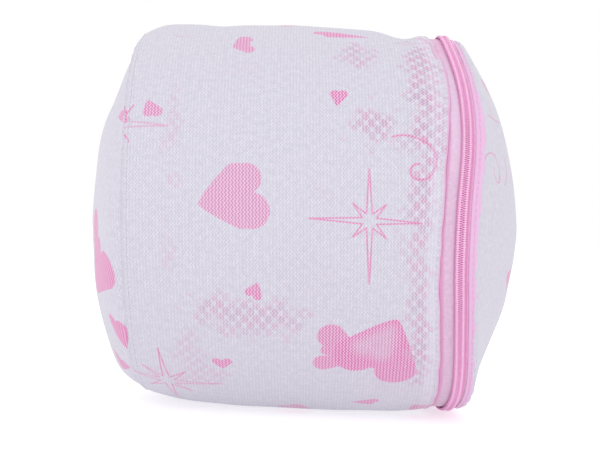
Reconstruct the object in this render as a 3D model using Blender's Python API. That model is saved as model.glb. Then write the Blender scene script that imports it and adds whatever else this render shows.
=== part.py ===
"""Mesh laundry bag: a drum-shaped two-layer wash bag lying on its side.

X runs along the drum, with the sewn base at -X and the zip-round lid at +X.
Z is up and the rest plane is z = 0.  Angles go round the drum from +Y
(the back, 0 degrees) over the top (90) to the front (180).
A section is a list of (x, r) points, r being the distance from the drum's axis.
"""

import math

import bmesh
import bpy
from mathutils import Matrix, Vector

# ---------------------------------------------------------------- dimensions
MM = 0.001  # every dimension below is in millimetres, every angle in degrees
AXIS_Z = 74.3  # height of the drum's axis over the rest plane
STEPS = 48  # facets round the drum
LEAN = 0.0447  # x falls by this share of the height over the axis

# Base dome, from its pole to the rim where it meets the wall
BASE_POLE_X = -84.0
BASE_SEAM_X = -63.8
BASE_DOME_R = 70.0
BASE_DOME_DEPTH = 24.0  # depth at which the dome would reach its full radius
BASE_STATIONS = (0.0, 0.14, 0.3, 0.48, 0.66, 0.84, 1.0)
BASE_LINING_STATIONS = (0.0, 0.2, 0.44, 0.7, 0.95)

# Side wall
WALL_START_X = -63.1
WALL_MID_X = 5.0
WALL_END_X = 47.0
WALL_START_R = 70.2
WALL_MID_R = 75.5
WALL_END_R = 73.2
WALL_SHOULDER = 4.75  # how fast the wall fills out next to the base seam

# Wall stations: shares of the run from start to middle, then from middle to end
WALL_STATIONS = ((0.0, 0.06, 0.16, 0.34, 0.62, 1.0), (0.5, 0.8, 1.0))
WALL_LINING_STATIONS = ((0.012, 0.08, 0.2, 0.5, 1.0), (0.6, 0.97))

# Cloth
FABRIC = 0.6  # thickness of the outer mesh
LINING = 0.4  # thickness of the coarse inner net
LINING_DROP = 2.5  # outer face of the lining below the outer face of the bag
LID_LINING_DROP = 2.8

# Lengthwise seam, low on the back
SIDE_SEAM_AT = 338.0
SIDE_SEAM_START_X = WALL_START_X + 3.5
SIDE_SEAM_END_X = WALL_END_X - 6.0
SIDE_SEAM_SPANS = 8

# Round seams: hoops, bindings and threads
HOOP = 0.5  # half thickness of a hoop
HOOP_DROP = 1.55  # middle of a hoop below the outer face of the wall
BASE_HOOP_X = -60.2
MOUTH_HOOP_X = 40.0
BASE_BINDING_X0, BASE_BINDING_X1 = -63.9, -61.6
BASE_BINDING_OUTER_R, BASE_BINDING_INNER_R = 64.6, 63.2
MOUTH_BINDING_WIDTH = 3.0
MOUTH_BINDING_OUTER_R, MOUTH_BINDING_INNER_R = 69.8, 68.8
MOUTH_THREAD_X = 45.8
THREAD = 0.25  # half thickness of a round thread
THREAD_GAP = 0.3  # from the wall to the underside of a thread

# Lid dome
LID_RIM_X = 60.4
LID_RIM_R = 72.0
LID_POLE_X = 84.0
LID_POWER = 0.95
LID_STATIONS = (1.0, 0.88, 0.72, 0.54, 0.36, 0.18, 0.0)
LID_LINING_STATIONS = (0.95, 0.76, 0.52, 0.26, 0.0)
LID_BINDING_X0, LID_BINDING_X1 = 57.6, 59.6
LID_BINDING_OUTER_R, LID_BINDING_INNER_R = 66.4, 65.0
LID_THREAD_STATION = 0.965
LID_THREAD_GAP = 0.35
LID_PIVOT_Y = 75.0

# Zip; each starting angle is mirrored at the other end
ZIP_X = 54.0  # middle of the zip chain
TAPE_R = 72.2
TAPE = 0.6  # thickness
TAPE_EDGE = 0.6  # from the middle of the chain to the edge of either tape
COIL_X = 1.5  # from the middle of the chain to the middle of either coil
COIL_R = 73.15
COIL_HALF_W = 0.9
COIL_HALF_H = 0.65
WALL_TAPE_FROM = 10.0
WALL_COIL_FROM = 12.9
LID_TAPE_FROM = 24.0  # tape and coil of the lid
STOP_FROM, STOP_TO = 10.3, 12.1
STOP_TOP = 0.85  # top of a stop over the middle of the coils

# Hinge patch
HINGE_HALF = 9.0  # half angle of the full-width part
HINGE_X0 = 43.5  # also the edge of the wall's tape
HINGE_X1 = 59.3
HINGE_ANGLES = (-23.0, -18.0, -13.5, -HINGE_HALF, -4.5, 0.0, 4.5, HINGE_HALF, 13.5, 18.0, 23.0)

# Slider
SLIDER_AT = 16.0
SLIDER_R = 72.0
SLIDER_LENGTH = 6.8
ARCH_WIDTH = 1.6
# Plates, side flanges and middle post: (across the chain, out of the drum)
SLIDER_SECTION = (
    (-3.2, -1.8), (3.2, -1.8), (3.2, -0.8), (0.3, -0.8), (0.3, 2.1), (2.8, 2.1),
    (2.8, 0.6), (3.6, 0.6), (3.6, 2.9), (2.9, 3.5), (-2.9, 3.5), (-3.6, 2.9),
    (-3.6, 0.6), (-2.8, 0.6), (-2.8, 2.1), (-0.3, 2.1), (-0.3, -0.8), (-3.2, -0.8),
)
# Bridge over the top plate: (along the chain, out of the drum)
ARCH_SECTION = (
    (-2.6, 3.2), (-2.6, 5.4), (-2.0, 6.0), (2.0, 6.0), (2.6, 5.4), (2.6, 3.2),
    (1.7, 3.2), (1.7, 4.9), (1.4, 5.1), (-1.4, 5.1), (-1.7, 4.9), (-1.7, 3.2),
)

# Pull tab; its local y = 0 is the middle of the bar
PULL_BAR_ALONG = -0.9  # bar's place along the chain from the middle of the slider
PULL_BAR_R = 76.4  # bar's distance from the drum's axis
PULL_BAR = 0.35  # radius of the bar
PULL_BAR_LENGTH = 3.2
PULL_THICK = 0.8
PULL_HALF_W = 1.9
PULL_NECK_HALF_W = 1.5
PULL_NECK_Y = -2.7
PULL_SHOULDER_Y = -5.0  # full width from here
PULL_SIDE_END_Y = -16.4  # to here
PULL_TIP_Y = -16.8  # centre of the tip's arc
PULL_TIP_SQUEEZE = 0.98  # width of the tip's arc as a share of the tab's
ARM_INNER_X = 1.2
ARM_Y0, ARM_Y1 = -3.6, 0.4
ARM_INSET = 0.03  # each face of an arm below the face of the tab


# ------------------------------------------------------------------ materials
WHITE_MESH = (0.80, 0.78, 0.86)
PINK_TAPE = (0.84, 0.55, 0.74)
PINK_COIL = (0.83, 0.30, 0.52)

FINISHES = {  # base colour, roughness, sheen weight
    "mesh": (WHITE_MESH, 0.85, 0.3),
    "net": ((0.78, 0.77, 0.83), 0.8, 0.0),
    "hoop": ((0.75, 0.75, 0.78), 0.35, 0.0),
    "side binding": (WHITE_MESH, 0.8, 0.0),
    "base binding": (WHITE_MESH, 0.75, 0.0),
    "pink binding": (PINK_TAPE, 0.75, 0.0),
    "side thread": ((0.82, 0.80, 0.88), 0.6, 0.0),
    "base thread": ((0.84, 0.82, 0.89), 0.6, 0.0),
    "pink thread": ((0.86, 0.52, 0.70), 0.6, 0.0),
    "tape": (PINK_TAPE, 0.7, 0.3),
    "coil": (PINK_COIL, 0.35, 0.0),
    "stop": (PINK_COIL, 0.45, 0.0),
    "slider": ((0.82, 0.28, 0.50), 0.35, 0.0),
}


def material(name, finish):
    colour, roughness, sheen = FINISHES[finish]
    made = bpy.data.materials.new(name)
    made.use_nodes = True
    shader = made.node_tree.nodes["Principled BSDF"]
    shader.inputs["Base Color"].default_value = (*colour, 1.0)
    shader.inputs["Roughness"].default_value = roughness
    shader.inputs["Sheen Weight"].default_value = sheen
    made.diffuse_color = (*colour, 1.0)
    return made


# ------------------------------------------------------------------- outlines
def wall_radius(x):
    """Outer radius of the side wall: it swells from both seams to the middle."""
    if x < WALL_MID_X:
        share = (x - WALL_START_X) / (WALL_MID_X - WALL_START_X)
        swell = 1.0 - (1.0 - share) ** WALL_SHOULDER
        return WALL_START_R + (WALL_MID_R - WALL_START_R) * swell
    share = (x - WALL_MID_X) / (WALL_END_X - WALL_MID_X)
    return WALL_MID_R - (WALL_MID_R - WALL_END_R) * share**3


def wall_line(stations, drop=0.0):
    """Polyline along the wall, drop mm nearer the axis than its outer face."""
    to_middle, to_end = stations
    places = [WALL_START_X + (WALL_MID_X - WALL_START_X) * share for share in to_middle]
    places += [WALL_MID_X + (WALL_END_X - WALL_MID_X) * share for share in to_end]
    return [(x, wall_radius(x) - drop) for x in places]


def base_point(s):
    """Outer face of the base dome, s = 0 at the pole to 1 at the seam."""
    depth = (BASE_SEAM_X - BASE_POLE_X) * s * s
    rise = (BASE_DOME_DEPTH - depth) / BASE_DOME_DEPTH
    return (BASE_POLE_X + depth, BASE_DOME_R * math.sqrt(1.0 - rise**2))


def lid_point(s):
    """Outer face of the lid dome, s = 1 at the rim to 0 at the pole."""
    depth = (LID_POLE_X - LID_RIM_X) * s * s
    return (LID_POLE_X - depth, LID_RIM_R * s**LID_POWER)


def sunk(curve, s, drop):
    """The point drop mm under the outer face of a dome, along its normal."""
    x, r = curve(s)
    side = 1.0 if x < 0 else -1.0
    if s <= 0.0:
        return (x + side * drop, 0.0)
    near_x, near_r = curve(s * 0.995)
    step_x, step_r = x - near_x, r - near_r
    length = math.hypot(step_x, step_r)
    return (x + side * abs(step_r) / length * drop, r - abs(step_x) / length * drop)


# ------------------------------------------------------------------- sections
def dome(curve, stations, drop, thickness):
    """Domed shell, both faces on true normals."""
    outer = [sunk(curve, s, drop) for s in stations]
    inner = [sunk(curve, s, drop + thickness) for s in stations]
    return outer + inner[::-1]


def skin(outer, thickness):
    """Thin shell: an outer polyline running towards +X and its inner offset."""
    inner = []
    for i, (x, r) in enumerate(outer):
        before = outer[max(i - 1, 0)]
        after = outer[min(i + 1, len(outer) - 1)]
        step_x, step_r = after[0] - before[0], after[1] - before[1]
        length = math.hypot(step_x, step_r)
        inner.append((x + step_r / length * thickness, r - step_x / length * thickness))
    return outer + inner[::-1]


def band(x0, x1, outer_r, inner_r):
    """Rectangle."""
    return [(x0, outer_r), (x1, outer_r), (x1, inner_r), (x0, inner_r)]


def bead(x, r, half_w, half_h, sides=6):
    """Polygon inscribed in an ellipse."""
    turns = [2 * math.pi * i / sides for i in range(sides)]
    return [(x + half_w * math.cos(turn), r + half_h * math.sin(turn)) for turn in turns]


def thread(x, r):
    return bead(x, r, THREAD, THREAD, sides=4)


# -------------------------------------------------------------- mesh building
def polar(x, r, degrees):
    """A point of the drum, in metres.  The wall rests on a flat at z = 0."""
    angle = math.radians(degrees)
    z = AXIS_Z + r * math.sin(angle)
    if WALL_START_X <= x <= WALL_END_X:
        pressed = max(0.0, wall_radius(x) - AXIS_Z)
        z = max(z, AXIS_Z - r + pressed)
    return Vector((x - LEAN * (z - AXIS_Z), r * math.cos(angle), z)) * MM


def finish(name, mesh, mat):
    """Turn the faces outwards and make the object."""
    bmesh.ops.recalc_face_normals(mesh, faces=mesh.faces)
    if mesh.calc_volume(signed=True) < 0:
        bmesh.ops.reverse_faces(mesh, faces=mesh.faces)
    data = bpy.data.meshes.new(name)
    mesh.to_mesh(data)
    mesh.free()
    made = bpy.data.objects.new(name, data)
    bpy.context.scene.collection.objects.link(made)
    data.materials.append(mat)
    return made


def loft(mesh, rings, whole=False):
    """Join neighbouring rings; close the loop if whole, else cap both ends."""
    pairs = list(zip(rings, rings[1:]))
    if whole:
        pairs.append((rings[-1], rings[0]))
    for here, there in pairs:
        for j in range(len(here)):
            k = (j + 1) % len(here)
            # rings share their vertices on the axis: drop the repeats
            corners = list(dict.fromkeys((here[j], here[k], there[k], there[j])))
            if len(corners) >= 3:
                mesh.faces.new(corners)
    if not whole:
        mesh.faces.new(rings[0])
        mesh.faces.new(rings[-1][::-1])


def turned(name, section, mat, start=0.0, stop=360.0):
    """A closed section swept round the drum's axis."""
    whole = stop - start == 360.0
    count = max(2, round(STEPS * (stop - start) / 360.0))
    mesh = bmesh.new()
    rings = []
    for i in range(count if whole else count + 1):
        angle = start + (stop - start) * i / count
        ring = []
        for j, (x, r) in enumerate(section):
            if r < 1e-6 and rings:
                ring.append(rings[0][j])
            else:
                ring.append(mesh.verts.new(polar(x, r, angle)))
        rings.append(ring)
    loft(mesh, rings, whole)
    return finish(name, mesh, mat)


def lengthwise(name, mat, drop, thickness, half_width):
    """A strip running along the drum at the side seam."""
    mesh = bmesh.new()
    rings = []
    spread = math.degrees(half_width / WALL_MID_R)
    for i in range(SIDE_SEAM_SPANS + 1):
        x = SIDE_SEAM_START_X + i * (SIDE_SEAM_END_X - SIDE_SEAM_START_X) / SIDE_SEAM_SPANS
        top = wall_radius(x) - drop
        bottom = top - thickness
        corners = ((top, -spread), (top, spread), (bottom, spread), (bottom, -spread))
        rings.append([mesh.verts.new(polar(x, r, SIDE_SEAM_AT + turn)) for r, turn in corners])
    loft(mesh, rings)
    return finish(name, mesh, mat)


def extrude(mesh, faces):
    """Extrude the faces in place and return the new vertices."""
    made = bmesh.ops.extrude_face_region(mesh, geom=faces)
    return [part for part in made["geom"] if isinstance(part, bmesh.types.BMVert)]


def prism(mesh, corners, travel):
    """A flat outline pushed along travel, both in millimetres."""
    face = mesh.faces.new([mesh.verts.new(Vector(corner) * MM) for corner in corners])
    bmesh.ops.translate(mesh, verts=extrude(mesh, [face]), vec=Vector(travel) * MM)


def joined(name, pieces, mat, matrix):
    """One body from overlapping pieces, by exact Boolean unions."""
    for i, add in enumerate(pieces):
        mesh = bmesh.new()
        add(mesh)
        bmesh.ops.recalc_face_normals(mesh, faces=mesh.faces)
        piece_name = name if i == 0 else f"{name}_piece{i}"
        data = bpy.data.meshes.new(piece_name)
        mesh.to_mesh(data)
        mesh.free()
        piece = bpy.data.objects.new(piece_name, data)
        bpy.context.scene.collection.objects.link(piece)
        piece.matrix_world = matrix
        if i == 0:
            body = piece
            data.materials.append(mat)
            continue
        piece.hide_render = True
        piece.display_type = "WIRE"
        union = body.modifiers.new(f"join{i}", "BOOLEAN")
        union.operation = "UNION"
        union.solver = "EXACT"
        union.object = piece


# -------------------------------------------------------------------- the bag
def build_wall():
    outer = skin(wall_line(WALL_STATIONS), FABRIC)
    turned("wall_outer_panel", outer, material("outer_mesh_white", "mesh"))
    lining = skin(wall_line(WALL_LINING_STATIONS, LINING_DROP), LINING)
    turned("wall_lining", lining, material("wall_lining_net", "net"))


def build_side_seam():
    """Binding under the wall and thread over it."""
    binding = material("side_binding_white", "side binding")
    lengthwise("side_seam_binding", binding, drop=3.6, thickness=0.6, half_width=2.6)
    stitching = material("side_thread_white", "side thread")
    lengthwise("side_seam_thread", stitching, drop=-0.75, thickness=0.4, half_width=0.25)


def build_base():
    outer = dome(base_point, BASE_STATIONS, 0.0, FABRIC)
    turned("base_outer_panel", outer, material("base_mesh_white", "mesh"))
    lining = dome(base_point, BASE_LINING_STATIONS, LINING_DROP, LINING)
    turned("base_lining", lining, material("base_lining_net", "net"))


def build_hoops():
    for name, x, mat_name in (
        ("base_rim_hoop", BASE_HOOP_X, "hoop_clear"),
        ("mouth_rim_hoop", MOUTH_HOOP_X, "mouth_hoop_clear"),
    ):
        section = bead(x, wall_radius(x) - HOOP_DROP, HOOP, HOOP)
        turned(name, section, material(mat_name, "hoop"))


def build_seam_bindings():
    base = band(BASE_BINDING_X0, BASE_BINDING_X1, BASE_BINDING_OUTER_R, BASE_BINDING_INNER_R)
    turned("base_seam_binding", base, material("base_binding_white", "base binding"))
    mouth_x0 = WALL_END_X - MOUTH_BINDING_WIDTH
    mouth = band(mouth_x0, WALL_END_X, MOUTH_BINDING_OUTER_R, MOUTH_BINDING_INNER_R)
    turned("mouth_seam_binding", mouth, material("mouth_binding_pink", "pink binding"))


def build_seam_threads():
    for name, x, mat_name, look in (
        ("base_seam_thread", BASE_BINDING_X1, "base_thread_white", "base thread"),
        ("mouth_seam_thread", MOUTH_THREAD_X, "mouth_thread_pink", "pink thread"),
    ):
        section = thread(x, wall_radius(x) + THREAD_GAP + THREAD)
        turned(name, section, material(mat_name, look))


# -------------------------------------------------------------- zip, bag side
def zip_part(name, section, mat, start):
    """A zip part swept round the drum, leaving the same gap either side of the back."""
    return turned(name, section, mat, start, 360.0 - start)


def coil_section(x):
    return bead(x, COIL_R, COIL_HALF_W, COIL_HALF_H)


def build_wall_zip():
    tape = skin([(HINGE_X0, TAPE_R), (ZIP_X - TAPE_EDGE, TAPE_R)], TAPE)
    zip_part("zip_tape_wall", tape, material("zip_tape_wall_pink", "tape"), WALL_TAPE_FROM)
    coil = coil_section(ZIP_X - COIL_X)
    zip_part("zip_coil_wall", coil, material("zip_coil_wall_pink", "coil"), WALL_COIL_FROM)


def build_zip_stops():
    """Blocks as wide as both coils, one at each end of the chain."""
    half_w = COIL_X + COIL_HALF_W
    section = band(ZIP_X - half_w, ZIP_X + half_w, COIL_R + STOP_TOP, COIL_R - COIL_HALF_H)
    turned("zip_stop_start", section, material("zip_stop_pink", "stop"), STOP_FROM, STOP_TO)
    end_mat = material("zip_stop_end_pink", "stop")
    turned("zip_stop_end", section, end_mat, 360.0 - STOP_TO, 360.0 - STOP_FROM)


def build_hinge_patch():
    """Tape gusset at the back: full width in the middle, lid-side wings."""
    stations = (HINGE_X0, ZIP_X - TAPE_EDGE, ZIP_X + TAPE_EDGE, HINGE_X1)
    mesh = bmesh.new()
    grid = {}

    def vertex(i, j):
        if (i, j) not in grid:
            place = polar(stations[j], TAPE_R - TAPE, HINGE_ANGLES[i])
            grid[i, j] = mesh.verts.new(place)
        return grid[i, j]

    faces = []
    for i in range(len(HINGE_ANGLES) - 1):
        middle = (HINGE_ANGLES[i] + HINGE_ANGLES[i + 1]) / 2
        for j in range(len(stations) - 1):
            if abs(middle) < HINGE_HALF or j == len(stations) - 2:
                cell = ((i, j), (i + 1, j), (i + 1, j + 1), (i, j + 1))
                faces.append(mesh.faces.new([vertex(*corner) for corner in cell]))
    for vert in extrude(mesh, faces):
        out = Vector((0.0, vert.co.y, vert.co.z - AXIS_Z * MM)).normalized() * TAPE * MM
        vert.co += out - Vector((LEAN * out.z, 0.0, 0.0))
    finish("hinge_patch", mesh, material("hinge_patch_pink", "tape"))


# -------------------------------------------------------------------- the lid
def build_lid_pivot():
    """Upright axis at the back, on which the lid swings."""
    pivot = bpy.data.objects.new("lid_pivot", None)
    bpy.context.scene.collection.objects.link(pivot)
    pivot.location = Vector((ZIP_X, LID_PIVOT_Y, AXIS_Z)) * MM
    bpy.context.view_layer.update()  # so that matrix_world is current
    return pivot


def lid_outer_panel():
    section = dome(lid_point, LID_STATIONS, 0.0, FABRIC)
    return turned("lid_outer_panel", section, material("lid_mesh_white", "mesh"))


def lid_lining():
    section = dome(lid_point, LID_LINING_STATIONS, LID_LINING_DROP, LINING)
    return turned("lid_lining", section, material("lid_lining_net", "net"))


def lid_seam_binding():
    section = band(LID_BINDING_X0, LID_BINDING_X1, LID_BINDING_OUTER_R, LID_BINDING_INNER_R)
    return turned("lid_seam_binding", section, material("lid_binding_pink", "pink binding"))


def lid_seam_thread():
    section = thread(*sunk(lid_point, LID_THREAD_STATION, -(LID_THREAD_GAP + THREAD)))
    return turned("lid_seam_thread", section, material("lid_thread_pink", "pink thread"))


def lid_tape():
    """Flat beside the chain, then bending in to the lid's rim."""
    outer = [(ZIP_X + TAPE_EDGE, TAPE_R), (57.6, TAPE_R), (59.0, 71.4), (LID_RIM_X, 69.3)]
    mat = material("zip_tape_lid_pink", "tape")
    return zip_part("zip_tape_lid", skin(outer, TAPE), mat, LID_TAPE_FROM)


def lid_coil():
    mat = material("zip_coil_lid_pink", "coil")
    return zip_part("zip_coil_lid", coil_section(ZIP_X + COIL_X), mat, LID_TAPE_FROM)


def build_lid():
    pivot = build_lid_pivot()
    for build in (
        lid_outer_panel, lid_lining, lid_seam_binding, lid_seam_thread, lid_tape, lid_coil
    ):
        piece = build()
        piece.parent = pivot
        piece.matrix_parent_inverse = pivot.matrix_world.inverted()


# ----------------------------------------------------------------- the slider
# Local axes of slider and pull: x across the chain, y along it, z out of the drum.
def slider_frame(along_chain, r):
    """Local frame at a point along the chain and r out from the axis."""
    parked = math.radians(SLIDER_AT)
    across = Vector((-1.0, 0.0, 0.0))
    along = Vector((0.0, -math.sin(parked), math.cos(parked)))
    radial = Vector((0.0, math.cos(parked), math.sin(parked)))
    middle = Vector((ZIP_X, 0.0, AXIS_Z)) * MM
    frame = Matrix((across, along, radial)).transposed().to_4x4()
    frame.translation = middle + (radial * r + along * along_chain) * MM
    lean = Matrix.Rotation(-math.atan(LEAN), 4, "Y")
    return Matrix.Translation(middle) @ lean @ Matrix.Translation(-middle) @ frame


def slider_plates(mesh):
    """The two plates, side flanges and middle post as one section."""
    corners = [(x, -SLIDER_LENGTH / 2, z) for x, z in SLIDER_SECTION]
    prism(mesh, corners, (0.0, SLIDER_LENGTH, 0.0))


def slider_arch(mesh):
    """Bridge over the top plate, open in the middle for the pull's bar."""
    corners = [(-ARCH_WIDTH / 2, y, z) for y, z in ARCH_SECTION]
    prism(mesh, corners, (ARCH_WIDTH, 0.0, 0.0))


def pull_plate(mesh):
    """The flat tab, narrowing a little towards the bar and rounded at its tip."""
    outline = [
        (-PULL_NECK_HALF_W, PULL_NECK_Y),
        (PULL_NECK_HALF_W, PULL_NECK_Y),
        (PULL_HALF_W, PULL_SHOULDER_Y),
        (PULL_HALF_W, PULL_SIDE_END_Y),
    ]
    for degrees in range(15, 166, 30):
        if degrees > 135:
            break
        turn = math.radians(degrees)
        x = PULL_HALF_W * math.cos(turn) * PULL_TIP_SQUEEZE
        outline.append((x, PULL_TIP_Y - PULL_HALF_W * math.sin(turn)))
    outline += [(-PULL_HALF_W, PULL_SIDE_END_Y), (-PULL_HALF_W, PULL_SHOULDER_Y)]
    prism(mesh, [(x, y, -PULL_THICK / 2) for x, y in outline], (0.0, 0.0, PULL_THICK))


def pull_arm(side):
    """Box from the tab to the bar, at local +x or -x."""

    def add(mesh):
        centre = Vector((side * (ARM_INNER_X + PULL_HALF_W) / 2, (ARM_Y0 + ARM_Y1) / 2, 0.0))
        size = (PULL_HALF_W - ARM_INNER_X, ARM_Y1 - ARM_Y0, PULL_THICK - 2 * ARM_INSET)
        scale = Matrix.Diagonal((*[length * MM for length in size], 1.0))
        place = Matrix.Translation(centre * MM) @ scale
        bmesh.ops.create_cube(mesh, size=1.0, matrix=place)

    return add


def pull_bar(mesh):
    bmesh.ops.create_cone(
        mesh,
        cap_ends=True,
        segments=8,
        radius1=PULL_BAR * MM,
        radius2=PULL_BAR * MM,
        depth=PULL_BAR_LENGTH * MM,
        matrix=Matrix.Rotation(math.radians(90), 4, "Y"),
    )


def build_slider():
    mat = material("slider_pink", "slider")
    joined("slider_body", [slider_plates, slider_arch], mat, slider_frame(0.0, SLIDER_R))


def build_pull():
    pieces = [pull_plate, pull_arm(-1), pull_arm(1), pull_bar]
    frame = slider_frame(PULL_BAR_ALONG, PULL_BAR_R)
    joined("pull_tab", pieces, material("pull_pink", "slider"), frame)


# ------------------------------------------------------------------- assembly
for old in list(bpy.data.objects):
    bpy.data.objects.remove(old, do_unlink=True)

build_wall()
build_side_seam()
build_base()
build_hoops()
build_seam_bindings()
build_seam_threads()
build_wall_zip()
build_zip_stops()
build_hinge_patch()
build_lid()
build_slider()
build_pull()
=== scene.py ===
"""Looks of a round mesh laundry bag lying on its side on z = 0.

The drum's axis runs along x: the domed base is at -x, the zip and the domed lid at +x.
Angles go round the axis in degrees: 0 at the back (+y), 90 at the top, 180 at the front.
Lengths are in mm until a mesh is made.
"""

import math
from collections import namedtuple
from functools import reduce

import bmesh
import bpy
import numpy as np
from mathutils import Matrix, Vector


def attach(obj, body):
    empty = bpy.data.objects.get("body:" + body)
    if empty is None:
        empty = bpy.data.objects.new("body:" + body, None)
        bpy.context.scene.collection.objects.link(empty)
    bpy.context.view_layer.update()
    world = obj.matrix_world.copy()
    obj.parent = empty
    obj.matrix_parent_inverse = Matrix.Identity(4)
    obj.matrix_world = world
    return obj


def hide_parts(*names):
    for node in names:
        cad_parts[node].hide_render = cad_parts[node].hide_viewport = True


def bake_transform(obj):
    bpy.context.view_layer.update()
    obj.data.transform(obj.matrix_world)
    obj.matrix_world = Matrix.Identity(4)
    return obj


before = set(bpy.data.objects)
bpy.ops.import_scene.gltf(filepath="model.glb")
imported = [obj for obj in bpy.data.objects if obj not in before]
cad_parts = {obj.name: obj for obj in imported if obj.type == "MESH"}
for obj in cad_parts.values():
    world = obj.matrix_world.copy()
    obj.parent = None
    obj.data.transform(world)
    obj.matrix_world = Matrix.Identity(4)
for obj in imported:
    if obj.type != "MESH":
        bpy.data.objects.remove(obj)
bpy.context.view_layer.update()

MM = 0.001
AXIS_Z = 74.3  # height of the drum's axis
LEAN = 0.0447  # shift towards -x for each mm above the axis
DRUM_R = 75.5
BASE_X = -63.1  # where the wall's shape starts, by the base
WALL_START_X = -63.2  # the cloth reaches a little past it
WIDEST_X = 5.0
MOUTH_X = 47.0
ZIP_X = 54.0
TIP_X = 84.0  # the base's and lid's centres are this far from x = 0
BASE_DEPTH = 20.2
BASE_HALF_AXES = 24.0, 70.0  # of the base's ellipse, along x and across
LID_DEPTH = 23.6
LID_R = 72.0
TAPE_R = 72.2
CLOTH = 0.5  # thickness of the wall, base and tapes
NET = 0.3  # thickness of the net linings
SEAM_AT = 338.0  # angle of the lengthwise seam, low on the back
TOP_FOLD = 97.0  # angle of the raised fold at the mouth's top

WALL_ROWS, WALL_COLUMNS = ((96, 400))
ANGLES = SEAM_AT + 360.0 * np.arange(WALL_COLUMNS) / WALL_COLUMNS

# Tables round the rim: (angle, shift along x)
ZIP_STRAY = (
    (0, 0.0), (95, 0.0), (108, 0.0), (117, 0.3), (124, 0.8), (130, 1.5), (136, 2.2),
    (142, 2.6), (148, 2.7), (154, 2.6), (159, 2.2), (164, 1.6), (169, 0.8), (174, 0.1),
    (178, -0.3), (183, -0.5), (187, -0.8), (194, -0.8), (203, -0.25), (214, 0.45),
    (224, 1.4), (233, 2.0), (242, 2.2), (252, 1.7), (268, 0.7), (285, 0.0), (340, 0.0),
)
MOUTH_STRAY = (
    (0, 0.0), (50, 0.0), (80, 1.0), (92, 1.4), (110, 2.0), (120, 2.5), (125, 3.1),
    (131, 4.3), (137, 4.5), (143, 4.2), (149, 4.0), (154, 3.2), (159, 2.3), (165, 1.6),
    (171, 1.1), (178, 0.5), (184, -0.1), (190, -0.6), (195, -0.8), (200, -0.6),
    (206, -0.1), (214, 0.8), (222, 1.3), (233, 1.9), (242, 2.3), (252, 1.9), (268, 0.8),
    (285, 0.0), (340, 0.0),
)
LID_EDGE = (
    (0, 0.0), (60, 0.0), (90, -1.6), (124, -1.9), (132, -1.4), (140, -1.0), (146, -0.2),
    (154, 0.6), (160, 0.1), (166, -0.2), (173, 0.2), (178, -0.2), (184, -0.5), (190, -0.6),
    (195, -0.5), (204, -0.95), (214, -0.95), (220, -1.5), (227, -0.9), (236, -0.6),
    (260, 0.0),
)

# Tables of the sagging domes: (height over the axis, shift along x)
BASE_SAG = (
    (-70, -1.0), (-63, -2.2), (-54, -0.6), (-44, 0.2), (-34, 0.2), (-25, 0.1), (-15, 0.7),
    (-5, 1.2), (4, 1.8), (14, 2.6), (23, 3.1), (33, 4.2), (42, 6.2), (52, 6.0), (61, 6.0),
    (66, 6.6), (70, 6.6),
)
LID_SAG = (
    (-70, -1.0), (-63, -2.0), (-54, -3.4), (-44, -3.2), (-34, -2.4), (-25, -2.0),
    (-15, -2.2), (-5, -1.4), (4, -0.7), (14, -0.6), (23, -0.9), (33, -0.3), (42, 0.3),
    (52, 0.2), (61, -0.4), (70, 0.8),
)

# Wave tables: (height, cycles round the axis, phase per mm, phase)
WALL_WAVES = (
    (0.30, 2, 0.030, 0.4), (0.26, 3, -0.045, 2.1), (0.20, 5, 0.060, 4.0),
    (0.16, 8, -0.100, 1.2), (0.11, 13, 0.150, 5.2), (0.07, 21, -0.210, 2.8),
    (0.04, 34, 0.330, 0.9),
)
BASE_WAVES = (
    (0.7, 1, 0.0, 0.6), (0.5, 2, 0.05, 2.4), (0.35, 3, -0.08, 4.4), (0.2, 5, 0.12, 1.1),
)
LID_WAVES = (
    (0.5, 1, 0.0, 3.6), (0.45, 2, -0.06, 0.4), (0.3, 3, 0.09, 2.2), (0.22, 5, -0.1, 5.1),
    (0.1, 9, 0.2, 0.8),
)
MOUTH_WAVES = ((0.12, 23, 0.0, 1.0), (0.08, 41, 0.0, 0.0))
LID_EDGE_WAVES = ((0.22, 31, 0.0, 0.5), (0.12, 53, 0.0, 2.0))

# Slumps and swells of the wall's top: (lift, angle, its width, x, its width)
WALL_SLUMPS = (
    (-1.7, 96.0, 24.0, 36.5, 6.5), (-1.0, 96.0, 24.0, -33.0, 9.0),
    (0.6, 96.0, 24.0, -54.0, 5.0), (0.9, TOP_FOLD, 14.0, 44.5, 2.6),
)


# --------------------------------------------------------------- cloth's shape
def hill(value, centre, width):
    return np.exp(-(((value - centre) / width) ** 2))


def turn(angle, centre):
    """Signed angle from centre, in degrees."""
    return (angle - centre + 180.0) % 360.0 - 180.0


def fade(distance, length):
    return np.exp(-np.clip(distance, 0.0, None) / length)


def waves(x, angle, rows):
    around = np.radians(angle)
    return sum(
        height * np.sin(cycles * around + per_mm * x + phase)
        for height, cycles, per_mm, phase in rows
    )


def ripple(angle, height, cycles, swing, swing_cycles, swing_phase=0.0):
    """Small gathers whose spacing swings round the rim."""
    around = np.radians(angle)
    sway = swing * np.sin(swing_cycles * around + swing_phase)
    return height * np.sin(cycles * around + sway)


def smooth(at, rows, period=None):
    """Value from (station, value) rows, averaged over three nearby places."""
    stations, values = np.array(rows, float).T
    nearby = (np.interp(at + shift, stations, values, period=period) for shift in (-4.0, 0.0, 4.0))
    return sum(nearby) / 3.0


def zip_stray(angle):
    """How far the sewn zip strays along x from one plane."""
    return smooth(angle, ZIP_STRAY, period=360.0)


def mouth_stray(angle):
    """Where the wall's cloth ends over the tape, next to MOUTH_X."""
    return smooth(angle, MOUTH_STRAY, period=360.0) + waves(0.0, angle, MOUTH_WAVES)


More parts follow.
